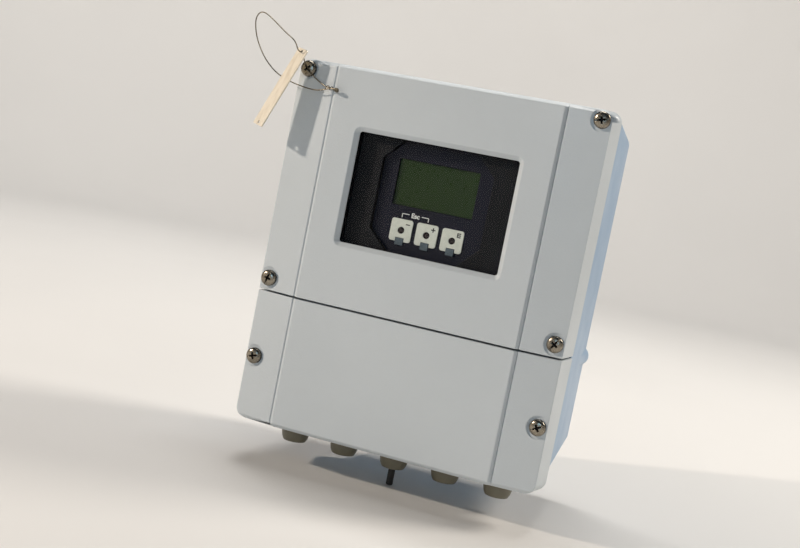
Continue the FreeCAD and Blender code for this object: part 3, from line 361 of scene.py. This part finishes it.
def solid_copy(node):
    """A clean copy of a CAD solid: its doubled corners merged and its flat faces made whole."""
    shape = bmesh.new()
    shape.from_mesh(nodes[node].data)
    bmesh.ops.remove_doubles(shape, verts=shape.verts, dist=SAME_PLACE)
    bmesh.ops.dissolve_limit(shape, angle_limit=FLAT, verts=shape.verts, edges=shape.edges)
    for face in shape.faces:
        face.smooth = True
    return shape


def break_edges(piece, width, segments=3, chosen=False):
    """Rounds a piece's sharp edges, or only the chosen ones, and keeps its flats flat."""
    rounding = piece.modifiers.new("edge_round", "BEVEL")
    rounding.width = width
    rounding.segments = segments
    rounding.limit_method = "WEIGHT" if chosen else "ANGLE"
    rounding.angle_limit = SHARP
    rounding.use_clamp_overlap = False
    flats = piece.modifiers.new("flat_faces", "WEIGHTED_NORMAL")
    flats.weight = FLATS_WEIGHT
    return piece


def soft_edged(name, node, finish, width, segments=3):
    """A CAD solid with its sharp edges rounded."""
    return break_edges(as_piece(name, solid_copy(node), finish), width, segments)


def powder_coat(name, colour, shade):
    """Baked powder coat: fine orange peel, a slow drift of tone and patches of handling sheen."""
    finish = new_finish(name, colour, 0.36)
    vary_colour(finish, cloud(finish, 9.0, 3.0), shade, 0.35, 0.75)
    vary_roughness(finish, cloud(finish, 34.0, 4.0), 0.31, 0.43)
    add_relief(finish, cloud(finish, 700.0, 2.0), 0.00014, 0.7)
    add_relief(finish, cloud(finish, 1900.0, 2.0), 0.00002, 0.5)
    return finish


blue_coat = powder_coat("blue_coat", rgb(142, 170, 198), rgb(136, 164, 193))
finished(soft_edged("housing_casting", "rear_housing", blue_coat, 0.0006), "housing_paint",
         "rear_housing")

# ---------------------------------------------------------------------------------------------------------
# Covers: two shallow die-cast lids, powder coated light grey, each with a raised middle panel between two
# lengthways steps and wings that slope back. Captive screws in spot-faces hold them on the housing.
# ---------------------------------------------------------------------------------------------------------
SPOT_FACE_REACH = 0.00755  # just past the rim of a spot-face
SPOTS = ("upper_left", "upper_right", "middle_left", "middle_right", "lower_left", "lower_right")
seats = [screw_seat("cover_screw_" + spot) for spot in SPOTS]


def by_a_screw(edge):
    """Whether both ends of an edge lie in the reach of one spot-face."""
    return any(all((corner.co - seat).xz.length < SPOT_FACE_REACH for corner in edge.verts) for seat in seats)


def choose_edges(shape):
    """Marks the sharp edges that get rounded: all but the rims of the spot-faces under the screws."""
    weight = shape.edges.layers.float.new("bevel_weight_edge")
    for edge in shape.edges:
        sharp = edge.is_manifold and edge.calc_face_angle() > SHARP
        edge[weight] = 1.0 if sharp and not by_a_screw(edge) else 0.0
    return shape


grey_coat = powder_coat("grey_coat", rgb(196, 203, 207), rgb(191, 198, 202))
for cover in ("upper_cover", "lower_cover"):
    casting = as_piece(cover + "_casting", choose_edges(solid_copy(cover)), grey_coat)
    finished(break_edges(casting, 0.0005, chosen=True), "powder_coat", cover)

# ---------------------------------------------------------------------------------------------------------
# Gaskets: flat rings of black silicone rubber, laid between each cover and the housing and behind the
# window pane. Only their edges show, in the seams.
# ---------------------------------------------------------------------------------------------------------
def dress(finish, *names):
    """Gives CAD nodes whose shape is right their finish."""
    for name in names:
        for material_slot in nodes[name].material_slots:
            material_slot.material = finish


gasket_rubber = new_finish("gasket_rubber", rgb(38, 38, 40), 0.7)
vary_roughness(gasket_rubber, cloud(gasket_rubber, 300.0, 3.0), 0.6, 0.85)
vary_colour(gasket_rubber, cloud(gasket_rubber, 60.0), rgb(50, 50, 52))
add_relief(gasket_rubber, cloud(gasket_rubber, 1500.0), 0.00003, 0.5)
dress(gasket_rubber, "upper_gasket", "lower_gasket", "window_gasket")

# ---------------------------------------------------------------------------------------------------------
# Cover screws: six M5 stainless pan heads, turned and pressed, each with a slot right across and a cross
# recess. They are held captive in the covers, and each stands in its spot-face at its own angle.
# ---------------------------------------------------------------------------------------------------------
HEAD_RADIUS = 0.0054
SHANK_RADIUS = 0.0025
SCREW_LENGTH = 0.0464
TIP_BEVEL = 0.0008
RIM_BEVEL = 0.0002
RIM_HEIGHT = 0.0016  # where the upright rim ends and the dome begins
DOME_RISE = 0.0021
DOME_SHARE = 0.55  # the part of the head's radius that the curve of the dome takes up
DOME_STEPS = 8
CROWN_SHARE = 0.3  # the part of it that is nearly flat
CROWN_RISE = 0.0001
DRIVERS = {  # half length, half width, depth, the foot's share of the length, and quarter turns
    "slot": (0.0060, 0.00050, 0.00085, 1.0, 0),
    "cross_along": (0.0027, 0.00068, 0.0022, 0.35, 0),
    "cross_over": (0.0027, 0.00068, 0.0022, 0.35, 1),
}
ABOVE_HEAD = 0.001
WIDTH_KEPT = 0.6  # the share of a blade's width that doesn't narrow with its length


def driver_tip(reach, half_width, depth, foot, quarter_turns):
    """One blade of a driver, narrowing downwards from the top of the head."""
    shape = bmesh.new()
    rings = []
    for level, share in ((HEAD_HEIGHT + ABOVE_HEAD, 1.0), (HEAD_HEIGHT, 1.0), (HEAD_HEIGHT - depth, foot)):
        x, y = reach * share, half_width * (WIDTH_KEPT + (1.0 - WIDTH_KEPT) * share)
        rings.append([shape.verts.new((*corner, level)) for corner in ((-x, -y), (x, -y), (x, y), (-x, y))])
    for lower, upper in zip(rings[1:], rings):
        for k in range(4):
            shape.faces.new((lower[k], lower[(k + 1) % 4], upper[(k + 1) % 4], upper[k]))
    shape.faces.new(rings[0])
    shape.faces.new(rings[-1][::-1])
    shape.transform(Matrix.Rotation(math.pi / 2 * quarter_turns, 4, "Z"))
    bmesh.ops.recalc_face_normals(shape, faces=shape.faces)
    return shape


def plain_mesh(piece, name):
    """A new object that holds the piece's evaluated mesh; the piece itself goes."""
    bpy.context.view_layer.update()
    mesh = bpy.data.meshes.new_from_object(piece.evaluated_get(bpy.context.evaluated_depsgraph_get()))
    mesh.name = name
    result = new_object(name, mesh)
    bpy.data.objects.remove(piece)
    return result


def darken_by_painted_shade(finish, name, colour):
    """Darkens a finish with painted shade where the piece's own attribute marks it."""
    marked = finish.node_tree.nodes.new("ShaderNodeAttribute")
    marked.attribute_name = name
    vary_colour(finish, marked.outputs["Fac"], colour, 0.0, 1.0)


screw_steel = new_finish("screw_steel", rgb(150, 143, 130), 0.24, 1.0)
vary_roughness(screw_steel, cloud(screw_steel, 700.0, 3.0), 0.16, 0.34)
vary_colour(screw_steel, cloud(screw_steel, 180.0, 3.0), rgb(104, 97, 86), 0.45, 0.8)
# painted shade: the heads go dark in their slot and cross and round their rims, after the attribute marked
# below
darken_by_painted_shade(screw_steel, "painted_shade", rgb(26, 23, 22))
add_relief(screw_steel, cloud(screw_steel, 1800.0, 3.0), 0.00003, 0.5)

tip = HEAD_HEIGHT - SCREW_LENGTH
head_line = [(0.0, tip), (SHANK_RADIUS - TIP_BEVEL, tip), (SHANK_RADIUS, tip + TIP_BEVEL), (SHANK_RADIUS, 0.0),
             (HEAD_RADIUS - RIM_BEVEL, 0.0), (HEAD_RADIUS, RIM_BEVEL), (HEAD_RADIUS, RIM_HEIGHT)]
for step in range(1, DOME_STEPS):
    angle = math.pi / 2 * step / DOME_STEPS
    head_line.append((HEAD_RADIUS * (1 - DOME_SHARE + DOME_SHARE * math.cos(angle)),
                      RIM_HEIGHT + DOME_RISE * math.sin(angle)))
head_line += [(HEAD_RADIUS * CROWN_SHARE, HEAD_HEIGHT - CROWN_RISE), (0.0, HEAD_HEIGHT)]
blank = spun("screw_blank", head_line, screw_steel, segments=48)
drivers = []
for blade, blade_sizes in DRIVERS.items():
    driver = as_piece(blade, driver_tip(*blade_sizes), screw_steel)
    pressing = blank.modifiers.new(blade, "BOOLEAN")
    pressing.operation = "DIFFERENCE"
    pressing.solver = "EXACT"
    pressing.object = driver
    drivers.append(driver)
screw_template = plain_mesh(blank, "screw_template")
for driver in drivers:
    bpy.data.objects.remove(driver)
screw_template = plain_mesh(break_edges(screw_template, 0.0001, 2), "screw_template")

# Painted shade in the pressings, darker the deeper they go, and a little less of it as a painted dark ring of
# shade round the rim
FULL_SHADE_DEPTH = 0.0004
DOME_START = 0.82  # where the dome curves down, in units of its own share
INSIDE_RIM = 0.93
RIM_START = 0.9
RIM_TOP = 0.0022
RIM_SHADE = 0.8
painted_shade = screw_template.data.attributes.new("painted_shade", "FLOAT", "POINT")
for corner, mark in zip(screw_template.data.vertices, painted_shade.data):
    out, up = corner.co.xy.length / HEAD_RADIUS, corner.co.z
    slope = max(0.0, out / DOME_SHARE - DOME_START)
    dome = RIM_HEIGHT + DOME_RISE * math.sqrt(max(0.0, 1.0 - slope ** 2))
    sunk = (dome - up) / FULL_SHADE_DEPTH if out < INSIDE_RIM and up > FULL_SHADE_DEPTH else 0.0
    rim = (out - RIM_START) / (1 - RIM_START) if up < RIM_TOP else 0.0
    mark.value = min(1.0, max(0.0, sunk, RIM_SHADE * rim))


def tree_with_inputs(name, **inputs):
    """An empty node tree with named inputs and one geometry output."""
    tree = bpy.data.node_groups.new(name, "GeometryNodeTree")
    sockets = {}
    for label, kind in inputs.items():
        sockets[label] = tree.interface.new_socket(label, in_out="INPUT", socket_type="NodeSocket" + kind)
    tree.interface.new_socket("Geometry", in_out="OUTPUT", socket_type="NodeSocketGeometry")
    return tree, sockets


def join_up(tree, *pairs):
    """Links sockets given as (node, output, node, input)."""
    for source, output, target, entry in pairs:
        tree.links.new(source.outputs[output], target.inputs[entry])


screw_tree, screw_inputs = tree_with_inputs("screws_in_place", Spots="Geometry", Screw="Object",
                                            Size="Float", Finish="Material")
add = screw_tree.nodes.new
entry, exit_ = add("NodeGroupInput"), add("NodeGroupOutput")
source, placed = add("GeometryNodeObjectInfo"), add("GeometryNodeInstanceOnPoints")
turn, spin = add("GeometryNodeInputNamedAttribute"), add("FunctionNodeEulerToRotation")
solid, painted = add("GeometryNodeRealizeInstances"), add("GeometryNodeSetMaterial")
turn.data_type = "FLOAT_VECTOR"
turn.inputs["Name"].default_value = "turn"
join_up(screw_tree, (entry, "Spots", placed, "Points"), (entry, "Screw", source, "Object"),
        (source, "Geometry", placed, "Instance"), (turn, "Attribute", spin, "Euler"),
        (spin, "Rotation", placed, "Rotation"), (entry, "Size", placed, "Scale"),
        (placed, "Instances", solid, "Geometry"), (solid, "Geometry", painted, "Geometry"),
        (entry, "Finish", painted, "Material"), (painted, "Geometry", exit_, "Geometry"))

SLOT_TURNS = (135, 14, 73, 57, 17, 30)  # degrees, in the order of the spots
for spot, seat, degrees in zip(SPOTS, seats, SLOT_TURNS):
    node = "cover_screw_" + spot
    points = bpy.data.meshes.new("screw_spot")
    points.from_pydata([seat], [], [])
    turns = points.attributes.new("turn", "FLOAT_VECTOR", "POINT")
    facing_out = Matrix.Rotation(math.radians(90), 3, "X") @ Matrix.Rotation(math.radians(degrees), 3, "Z")
    turns.data[0].vector = facing_out.to_euler()
    screw = new_object("screw_spot", points)
    setting = screw.modifiers.new("set_out", "NODES")
    setting.node_group = screw_tree
    setting[screw_inputs["Screw"].identifier] = screw_template
    setting[screw_inputs["Size"].identifier] = 1.0
    setting[screw_inputs["Finish"].identifier] = screw_steel
    finished(plain_mesh(screw, node + "_steel"), "screw_steel", node)
bpy.data.objects.remove(screw_template)
dress(screw_steel, "retainer_screws", "module_screws", "terminal_board_screws", "ground_screw")

# ---------------------------------------------------------------------------------------------------------
# Window: a flat pane of clear safety glass, clamped behind the opening of the upper cover by a frame of
# black moulded plastic. The glass is coated against glare: its index is low and it mirrors little.
# ---------------------------------------------------------------------------------------------------------
pane_glass = bpy.data.materials.new("pane_glass")
pane_glass.use_nodes = True
glass_nodes = pane_glass.node_tree.nodes
glass_nodes.remove(glass_nodes["Principled BSDF"])
clear = glass_nodes.new("ShaderNodeBsdfTransparent")
clear.inputs["Color"].default_value = (0.985, 0.99, 0.99, 1.0)
mirror = glass_nodes.new("ShaderNodeBsdfGlossy")
mirror.inputs["Roughness"].default_value = 0.03
edge_on = glass_nodes.new("ShaderNodeFresnel")
edge_on.inputs["IOR"].default_value = 1.15
both = glass_nodes.new("ShaderNodeMixShader")
pane_glass.node_tree.links.new(edge_on.outputs["Fac"], both.inputs[0])
pane_glass.node_tree.links.new(clear.outputs["BSDF"], both.inputs[1])
pane_glass.node_tree.links.new(mirror.outputs["BSDF"], both.inputs[2])
pane_glass.node_tree.links.new(both.outputs["Shader"], glass_nodes["Material Output"].inputs["Surface"])
dress(pane_glass, "window_pane")

black_plastic = new_finish("black_plastic", rgb(9, 11, 16), 0.55)
vary_roughness(black_plastic, cloud(black_plastic, 240.0, 3.0), 0.48, 0.66)
vary_colour(black_plastic, cloud(black_plastic, 30.0), rgb(13, 15, 21))
add_relief(black_plastic, cloud(black_plastic, 1700.0), 0.00003, 0.6)
set_shader(black_plastic, Specular_IOR_Level=0.22)
dress(black_plastic, "pane_retainer")

# ---------------------------------------------------------------------------------------------------------
# Display: a black moulded mask with an eight-sided opening over a printed dark blue plate. The plate has
# the opening of the liquid crystal panel and carries the fields of three optical keys.
# ---------------------------------------------------------------------------------------------------------
finished(soft_edged("display_mask_moulding", "display_mask", black_plastic, 0.0006), "black_plastic",
         "display_mask")

plate_film = new_finish("plate_film", rgb(17, 18, 32), 0.5)
vary_roughness(plate_film, cloud(plate_film, 500.0, 3.0), 0.38, 0.52)
vary_colour(plate_film, cloud(plate_film, 40.0), rgb(21, 22, 38))
add_relief(plate_film, cloud(plate_film, 3600.0), 0.000006, 0.3)
set_shader(plate_film, Specular_IOR_Level=0.22)
finished(soft_edged("display_plate_film", "display_plate", plate_film, 0.0003), "display_plate",
         "display_plate")

DOT_PITCH = 0.00046
DOT_GAP = 0.00006


def dot_grid(finish, pitch, gap):
    """Crossed fine lines, one pitch apart across and up; dark lines stand at zero."""
    tree = finish.node_tree
    place = tree.nodes.new("ShaderNodeTexCoord")
    apart = tree.nodes.new("ShaderNodeSeparateXYZ")
    tree.links.new(place.outputs["Object"], apart.inputs["Vector"])
    lines = []
    for axis in ("X", "Z"):
        cycle = tree.nodes.new("ShaderNodeMath")
        cycle.operation = "PINGPONG"
        cycle.inputs[1].default_value = pitch / 2
        tree.links.new(apart.outputs[axis], cycle.inputs[0])
        lines.append(levels(finish, cycle.outputs[0], 0.0, 1.0, 0.0, gap))
    both_ways = tree.nodes.new("ShaderNodeMath")
    both_ways.operation = "MINIMUM"
    tree.links.new(lines[0], both_ways.inputs[0])
    tree.links.new(lines[1], both_ways.inputs[1])
    return both_ways.outputs[0]


lcd_face = new_finish("lcd_face", rgb(30, 50, 18), 0.3)
vary_colour(lcd_face, cloud(lcd_face, 26.0, 2.0), rgb(38, 54, 16), 0.3, 0.75)
vary_colour(lcd_face, dot_grid(lcd_face, DOT_PITCH, DOT_GAP), rgb(34, 54, 20), 0.0, 1.0)
vary_roughness(lcd_face, cloud(lcd_face, 400.0), 0.26, 0.36)
add_relief(lcd_face, cloud(lcd_face, 1200.0), 0.00001, 0.3)
set_shader(lcd_face, Specular_IOR_Level=0.3)
dress(lcd_face, "lcd_panel")

# ---------------------------------------------------------------------------------------------------------
# Keys: three light fields printed on domed film over infrared sensors, which a finger works through the
# glass. A slate tab hangs at the foot of each; signs and a bracket for "escape" are printed beside them.
# ---------------------------------------------------------------------------------------------------------
KEYS = ("key_minus", "key_plus", "key_enter")
key_print = new_finish("key_print", rgb(226, 230, 220), 0.5)
vary_roughness(key_print, cloud(key_print, 700.0, 3.0), 0.42, 0.6)
vary_colour(key_print, cloud(key_print, 300.0, 3.0), rgb(214, 220, 210))
add_relief(key_print, cloud(key_print, 2400.0), 0.00002, 0.5)
slate_tab = new_finish("slate_tab", rgb(86, 101, 110), 0.45)
vary_roughness(slate_tab, cloud(slate_tab, 700.0), 0.38, 0.55)
vary_colour(slate_tab, cloud(slate_tab, 350.0), rgb(78, 93, 102))
add_relief(slate_tab, cloud(slate_tab, 2000.0), 0.00002, 0.5)
dark_lens = new_finish("dark_lens", rgb(22, 16, 20), 0.12)
set_shader(dark_lens, Coat_Weight=0.6)
vary_roughness(dark_lens, cloud(dark_lens, 500.0), 0.08, 0.2)
vary_colour(dark_lens, cloud(dark_lens, 300.0), rgb(34, 22, 26))
add_relief(dark_lens, cloud(dark_lens, 900.0), 0.00001, 0.3)
for key in KEYS:
    finished(soft_edged(key + "_field", key, key_print, 0.0002, 2), "key_field", key)
finished(soft_edged("key_tab_row", "key_tabs", slate_tab, 0.0003), "key_tab", "key_tabs")
dress(dark_lens, "key_sensors")

PRINT_LIFT = 0.00006
LETTER_WEIGHT = 0.00014
sign_ink = new_finish("sign_ink", rgb(14, 18, 20), 0.5)
bracket_ink = new_finish("bracket_ink", rgb(236, 238, 236), 0.5)
for ink, other in ((sign_ink, rgb(22, 26, 28)), (bracket_ink, rgb(222, 225, 222))):
    vary_roughness(ink, cloud(ink, 900.0), 0.42, 0.6)
    vary_colour(ink, cloud(ink, 800.0), other)
    add_relief(ink, cloud(ink, 3000.0), 0.00001, 0.4)


def printed(name, y, strokes, finish):
    """Flat ink on a face that looks along -Y: each stroke is the (x, z) outline of a patch."""
    shape = bmesh.new()
    for outline in strokes:
        front = [shape.verts.new((x, y - PRINT_LIFT, z)) for x, z in outline]
        back = [shape.verts.new((x, y, z)) for x, z in outline]
        shape.faces.new(front)
        shape.faces.new(back[::-1])
        for k in range(len(front)):
            near, far = front[k], front[(k + 1) % len(front)]
            shape.faces.new((near, back[k], back[(k + 1) % len(front)], far))
    bmesh.ops.recalc_face_normals(shape, faces=shape.faces)
    return as_piece(name, shape, finish)


def bar(x, z, width, height):
    """The outline of an upright patch about a middle point."""
    return [(x - width / 2, z - height / 2), (x + width / 2, z - height / 2),
            (x + width / 2, z + height / 2), (x - width / 2, z + height / 2)]


def lettering(text, height, x, y, z, finish, name):
    """A printed word, its middle at x, z."""
    words = bpy.data.curves.new(name, "FONT")
    words.body = text
    words.size = height
    words.align_x = "CENTER"
    words.align_y = "CENTER"
    words.extrude = PRINT_LIFT / 2
    words.offset = LETTER_WEIGHT
    result = plain_mesh(new_object(name, words), name)
    place = Matrix.Translation((x, y - PRINT_LIFT / 2, z))
    result.data.transform(place @ Matrix.Rotation(math.radians(90), 4, "X"))
    result.data.materials.clear()
    result.data.materials.append(finish)
    return result


def middle_x(node):
    """The middle of a node, across."""
    low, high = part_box(node)
    return (low.x + high.x) / 2


SIGN_ACROSS = 0.0041  # the signs' middles, right of the middle of their keys
SIGN_UP = 0.0043  # and above it
SIGN_SPAN = 0.0030
SIGN_LINE = 0.0007
STEM_LEFT = 0.0009  # the stem of the enter sign, left of the sign's middle
BARS_RIGHT = 0.0004
BAR_SPAN = 0.0019
BAR_PITCH = 0.00119
key_low, key_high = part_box("key_plus")
sign_z = (key_low.z + key_high.z) / 2 + SIGN_UP
minus_x, plus_x, enter_x = (middle_x(key) + SIGN_ACROSS for key in KEYS)
arm = (SIGN_SPAN - SIGN_LINE) / 2
arm_middle = (SIGN_LINE + arm) / 2
signs = [bar(minus_x, sign_z, SIGN_SPAN, SIGN_LINE), bar(plus_x, sign_z, SIGN_SPAN, SIGN_LINE),
         bar(plus_x, sign_z + arm_middle, SIGN_LINE, arm), bar(plus_x, sign_z - arm_middle, SIGN_LINE, arm),
         bar(enter_x - STEM_LEFT, sign_z, SIGN_LINE, SIGN_SPAN)]
for level in (-1, 0, 1):
    signs.append(bar(enter_x + BARS_RIGHT, sign_z + level * BAR_PITCH, BAR_SPAN, SIGN_LINE))
finished(printed("key_signs", key_low.y, signs, sign_ink), "key_field")

BRACKET_LINE = 0.00050
BRACKET_DROP = 0.0026
BRACKET_RISE = 0.0036  # above the keys' upper edge
BRACKET_ENDS = (-0.0013, -0.0007)  # from the middles of the minus and plus keys
WORD_GAP = 0.0043  # half the break in the bracket's line, where the word stands
WORD_HEIGHT = 0.0044
WORD_DROP = 0.0004
plate_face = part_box("display_plate")[0].y
bracket_z = key_high.z + BRACKET_RISE
left, right = minus_x - SIGN_ACROSS + BRACKET_ENDS[0], plus_x - SIGN_ACROSS + BRACKET_ENDS[1]
word_x = (left + right) / 2
bracket = [bar(end, bracket_z - BRACKET_DROP / 2, BRACKET_LINE, BRACKET_DROP) for end in (left, right)]
for start, stop in ((left, word_x - WORD_GAP), (word_x + WORD_GAP, right)):
    bracket.append(bar((start + stop) / 2, bracket_z, stop - start, BRACKET_LINE))
finished(printed("escape_bracket", plate_face, bracket, bracket_ink), "key_field")
word = lettering("Esc", WORD_HEIGHT, word_x, plate_face, bracket_z - WORD_DROP, bracket_ink, "escape_word")
finished(word, "key_field")

# ---------------------------------------------------------------------------------------------------------
# Electronics: a moulded carrier with a sheet-metal lid holds three circuit cards and a small transformer;
# the display's own board sits in the mask. Cards are glass-fibre laminate with a green solder mask.
# ---------------------------------------------------------------------------------------------------------
CARD_HOLE_PITCH = 0.00254
card_laminate = new_finish("card_laminate", rgb(34, 92, 58), 0.4)
vary_colour(card_laminate, dot_grid(card_laminate, CARD_HOLE_PITCH, 0.0005), rgb(44, 112, 72), 0.0, 1.0)
vary_colour(card_laminate, cloud(card_laminate, 160.0, 4.0, (1.0, 1.0, 6.0)), rgb(54, 124, 82), 0.5, 0.75)
vary_roughness(card_laminate, cloud(card_laminate, 200.0), 0.32, 0.5)
add_relief(card_laminate, dot_grid(card_laminate, CARD_HOLE_PITCH, 0.0004), 0.00004, 0.6)
dress(card_laminate, "amplifier_card", "output_card", "power_card", "display_board", "terminal_board")

carrier_moulding = new_finish("carrier_moulding", rgb(66, 68, 72), 0.55)
vary_roughness(carrier_moulding, cloud(carrier_moulding, 200.0, 3.0), 0.45, 0.65)
vary_colour(carrier_moulding, cloud(carrier_moulding, 30.0), rgb(74, 76, 80))
add_relief(carrier_moulding, cloud(carrier_moulding, 1300.0), 0.00005, 0.6)
dress(carrier_moulding, "module_carrier")

lid_zinc = new_finish("lid_zinc", rgb(176, 178, 178), 0.4, 1.0)
vary_roughness(lid_zinc, cloud(lid_zinc, 60.0, 4.0), 0.3, 0.55)
vary_colour(lid_zinc, cloud(lid_zinc, 45.0, 4.0), rgb(150, 153, 156))
add_relief(lid_zinc, cloud(lid_zinc, 900.0, 2.0, (1.0, 1.0, 0.08)), 0.00002, 0.5)
dress(lid_zinc, "module_lid")

core_lamination = new_finish("core_lamination", rgb(70, 66, 62), 0.5, 0.6)
vary_colour(core_lamination, cloud(core_lamination, 1600.0, 1.0, (0.02, 1.0, 0.02)), rgb(112, 106, 98))
vary_roughness(core_lamination, cloud(core_lamination, 300.0), 0.4, 0.65)
add_relief(core_lamination, cloud(core_lamination, 1600.0, 1.0, (0.02, 1.0, 0.02)), 0.0001, 0.6)
dress(core_lamination, "transformer")

# ---------------------------------------------------------------------------------------------------------
# Terminals: three plug-in blocks of light green moulded plastic with nickel-plated brass clamp screws, on
# the board of the connection compartment behind the lower cover.
# ---------------------------------------------------------------------------------------------------------
terminal_moulding = new_finish("terminal_moulding", rgb(92, 140, 96), 0.45)
vary_roughness(terminal_moulding, cloud(terminal_moulding, 300.0, 3.0), 0.38, 0.55)
vary_colour(terminal_moulding, cloud(terminal_moulding, 80.0), rgb(84, 130, 90))
add_relief(terminal_moulding, cloud(terminal_moulding, 1500.0), 0.00004, 0.5)
dress(terminal_moulding, "power_terminals", "sensor_terminals", "signal_terminals")

clamp_brass = new_finish("clamp_brass", rgb(196, 180, 140), 0.3, 1.0)
vary_roughness(clamp_brass, cloud(clamp_brass, 500.0, 3.0), 0.24, 0.45)
vary_colour(clamp_brass, cloud(clamp_brass, 220.0, 3.0), rgb(160, 142, 100))
add_relief(clamp_brass, cloud(clamp_brass, 1500.0, 2.0), 0.00003, 0.5)
dress(clamp_brass, "terminal_screws")

# ---------------------------------------------------------------------------------------------------------
# Cable glands: five moulded polyamide glands in a row under the housing, each a hexagonal body, a rubber
# seal and a domed cap nut with moulded grips. The middle one is closed with a black peg.
# ---------------------------------------------------------------------------------------------------------
GLAND_COUNT = 5
gland_polyamide = new_finish("gland_polyamide", rgb(122, 117, 100), 0.42)
set_shader(gland_polyamide, Subsurface_Weight=0.08, Subsurface_Radius=(0.002, 0.002, 0.0015))
vary_roughness(gland_polyamide, cloud(gland_polyamide, 220.0, 3.0), 0.36, 0.52)
vary_colour(gland_polyamide, cloud(gland_polyamide, 70.0, 3.0), rgb(112, 107, 90))
add_relief(gland_polyamide, cloud(gland_polyamide, 1300.0), 0.00004, 0.5)

row_tree, row_inputs = tree_with_inputs("glands_in_a_row", Template="Object", Count="Int", Pitch="Vector",
                                        Finish="Material")
add = row_tree.nodes.new
entry, exit_ = add("NodeGroupInput"), add("NodeGroupOutput")
row, source = add("GeometryNodeMeshLine"), add("GeometryNodeObjectInfo")
placed, solid = add("GeometryNodeInstanceOnPoints"), add("GeometryNodeRealizeInstances")
painted = add("GeometryNodeSetMaterial")
join_up(row_tree, (entry, "Count", row, "Count"), (entry, "Pitch", row, "Offset"),
        (row, "Mesh", placed, "Points"), (entry, "Template", source, "Object"),
        (source, "Geometry", placed, "Instance"), (placed, "Instances", solid, "Geometry"),
        (solid, "Geometry", painted, "Geometry"), (entry, "Finish", painted, "Material"),
        (painted, "Geometry", exit_, "Geometry"))


def row_of(name, node, finish, width, slot_name):
    """All glands' pieces of one kind, made from the first one's solid with its edges rounded."""
    template = plain_mesh(soft_edged(name + "_template", node + "_1", finish, width, 2), name + "_template")
    holder = new_object(name + "_holder", bpy.data.meshes.new(name + "_holder"))
    setting = holder.modifiers.new("row", "NODES")
    setting.node_group = row_tree
    setting[row_inputs["Template"].identifier] = template
    setting[row_inputs["Count"].identifier] = GLAND_COUNT
    setting[row_inputs["Pitch"].identifier] = (middle_x(node + "_2") - middle_x(node + "_1"), 0.0, 0.0)
    setting[row_inputs["Finish"].identifier] = finish
    piece = plain_mesh(holder, name)
    bpy.data.objects.remove(template)
    return finished(piece, slot_name, *(f"{node}_{k}" for k in range(1, GLAND_COUNT + 1)))


row_of("gland_cap_nuts", "gland_nut", gland_polyamide, 0.0005, "gland_plastic")
row_of("gland_bodies", "gland_body", gland_polyamide, 0.0004, "gland_plastic")
dress(gasket_rubber, *(f"gland_seal_{k}" for k in range(1, GLAND_COUNT + 1)))
dress(gland_polyamide, "gland_washers")

plug_polyamide = new_finish("plug_polyamide", rgb(12, 11, 12), 0.45)
vary_roughness(plug_polyamide, cloud(plug_polyamide, 300.0, 3.0), 0.35, 0.58)
vary_colour(plug_polyamide, cloud(plug_polyamide, 120.0), rgb(22, 20, 20))
add_relief(plug_polyamide, cloud(plug_polyamide, 1100.0), 0.00004, 0.5)
finished(soft_edged("gland_peg", "blind_plug", plug_polyamide, 0.0003), "plug_plastic", "blind_plug")

# ---------------------------------------------------------------------------------------------------------
# Tag: a small stamped plate of pale metal on the loop of the seal wire, with a hole at each end. It is
# blank; its face is brushed along its length and scuffed by handling.
# ---------------------------------------------------------------------------------------------------------
tag_metal = new_finish("tag_metal", rgb(236, 226, 207), 0.42, 0.15)
vary_colour(tag_metal, cloud(tag_metal, 240.0, 5.0, (1.0, 1.0, 0.25)), rgb(212, 199, 176), 0.45, 0.8)
vary_roughness(tag_metal, cloud(tag_metal, 420.0, 4.0, (1.0, 1.0, 0.2)), 0.3, 0.5)
add_relief(tag_metal, cloud(tag_metal, 1100.0, 3.0, (1.0, 1.0, 0.1)), 0.00004, 0.5)
finished(soft_edged("tag_stamping", "tag_plate", tag_metal, 0.00015, 2), "tag_metal", "tag_plate")
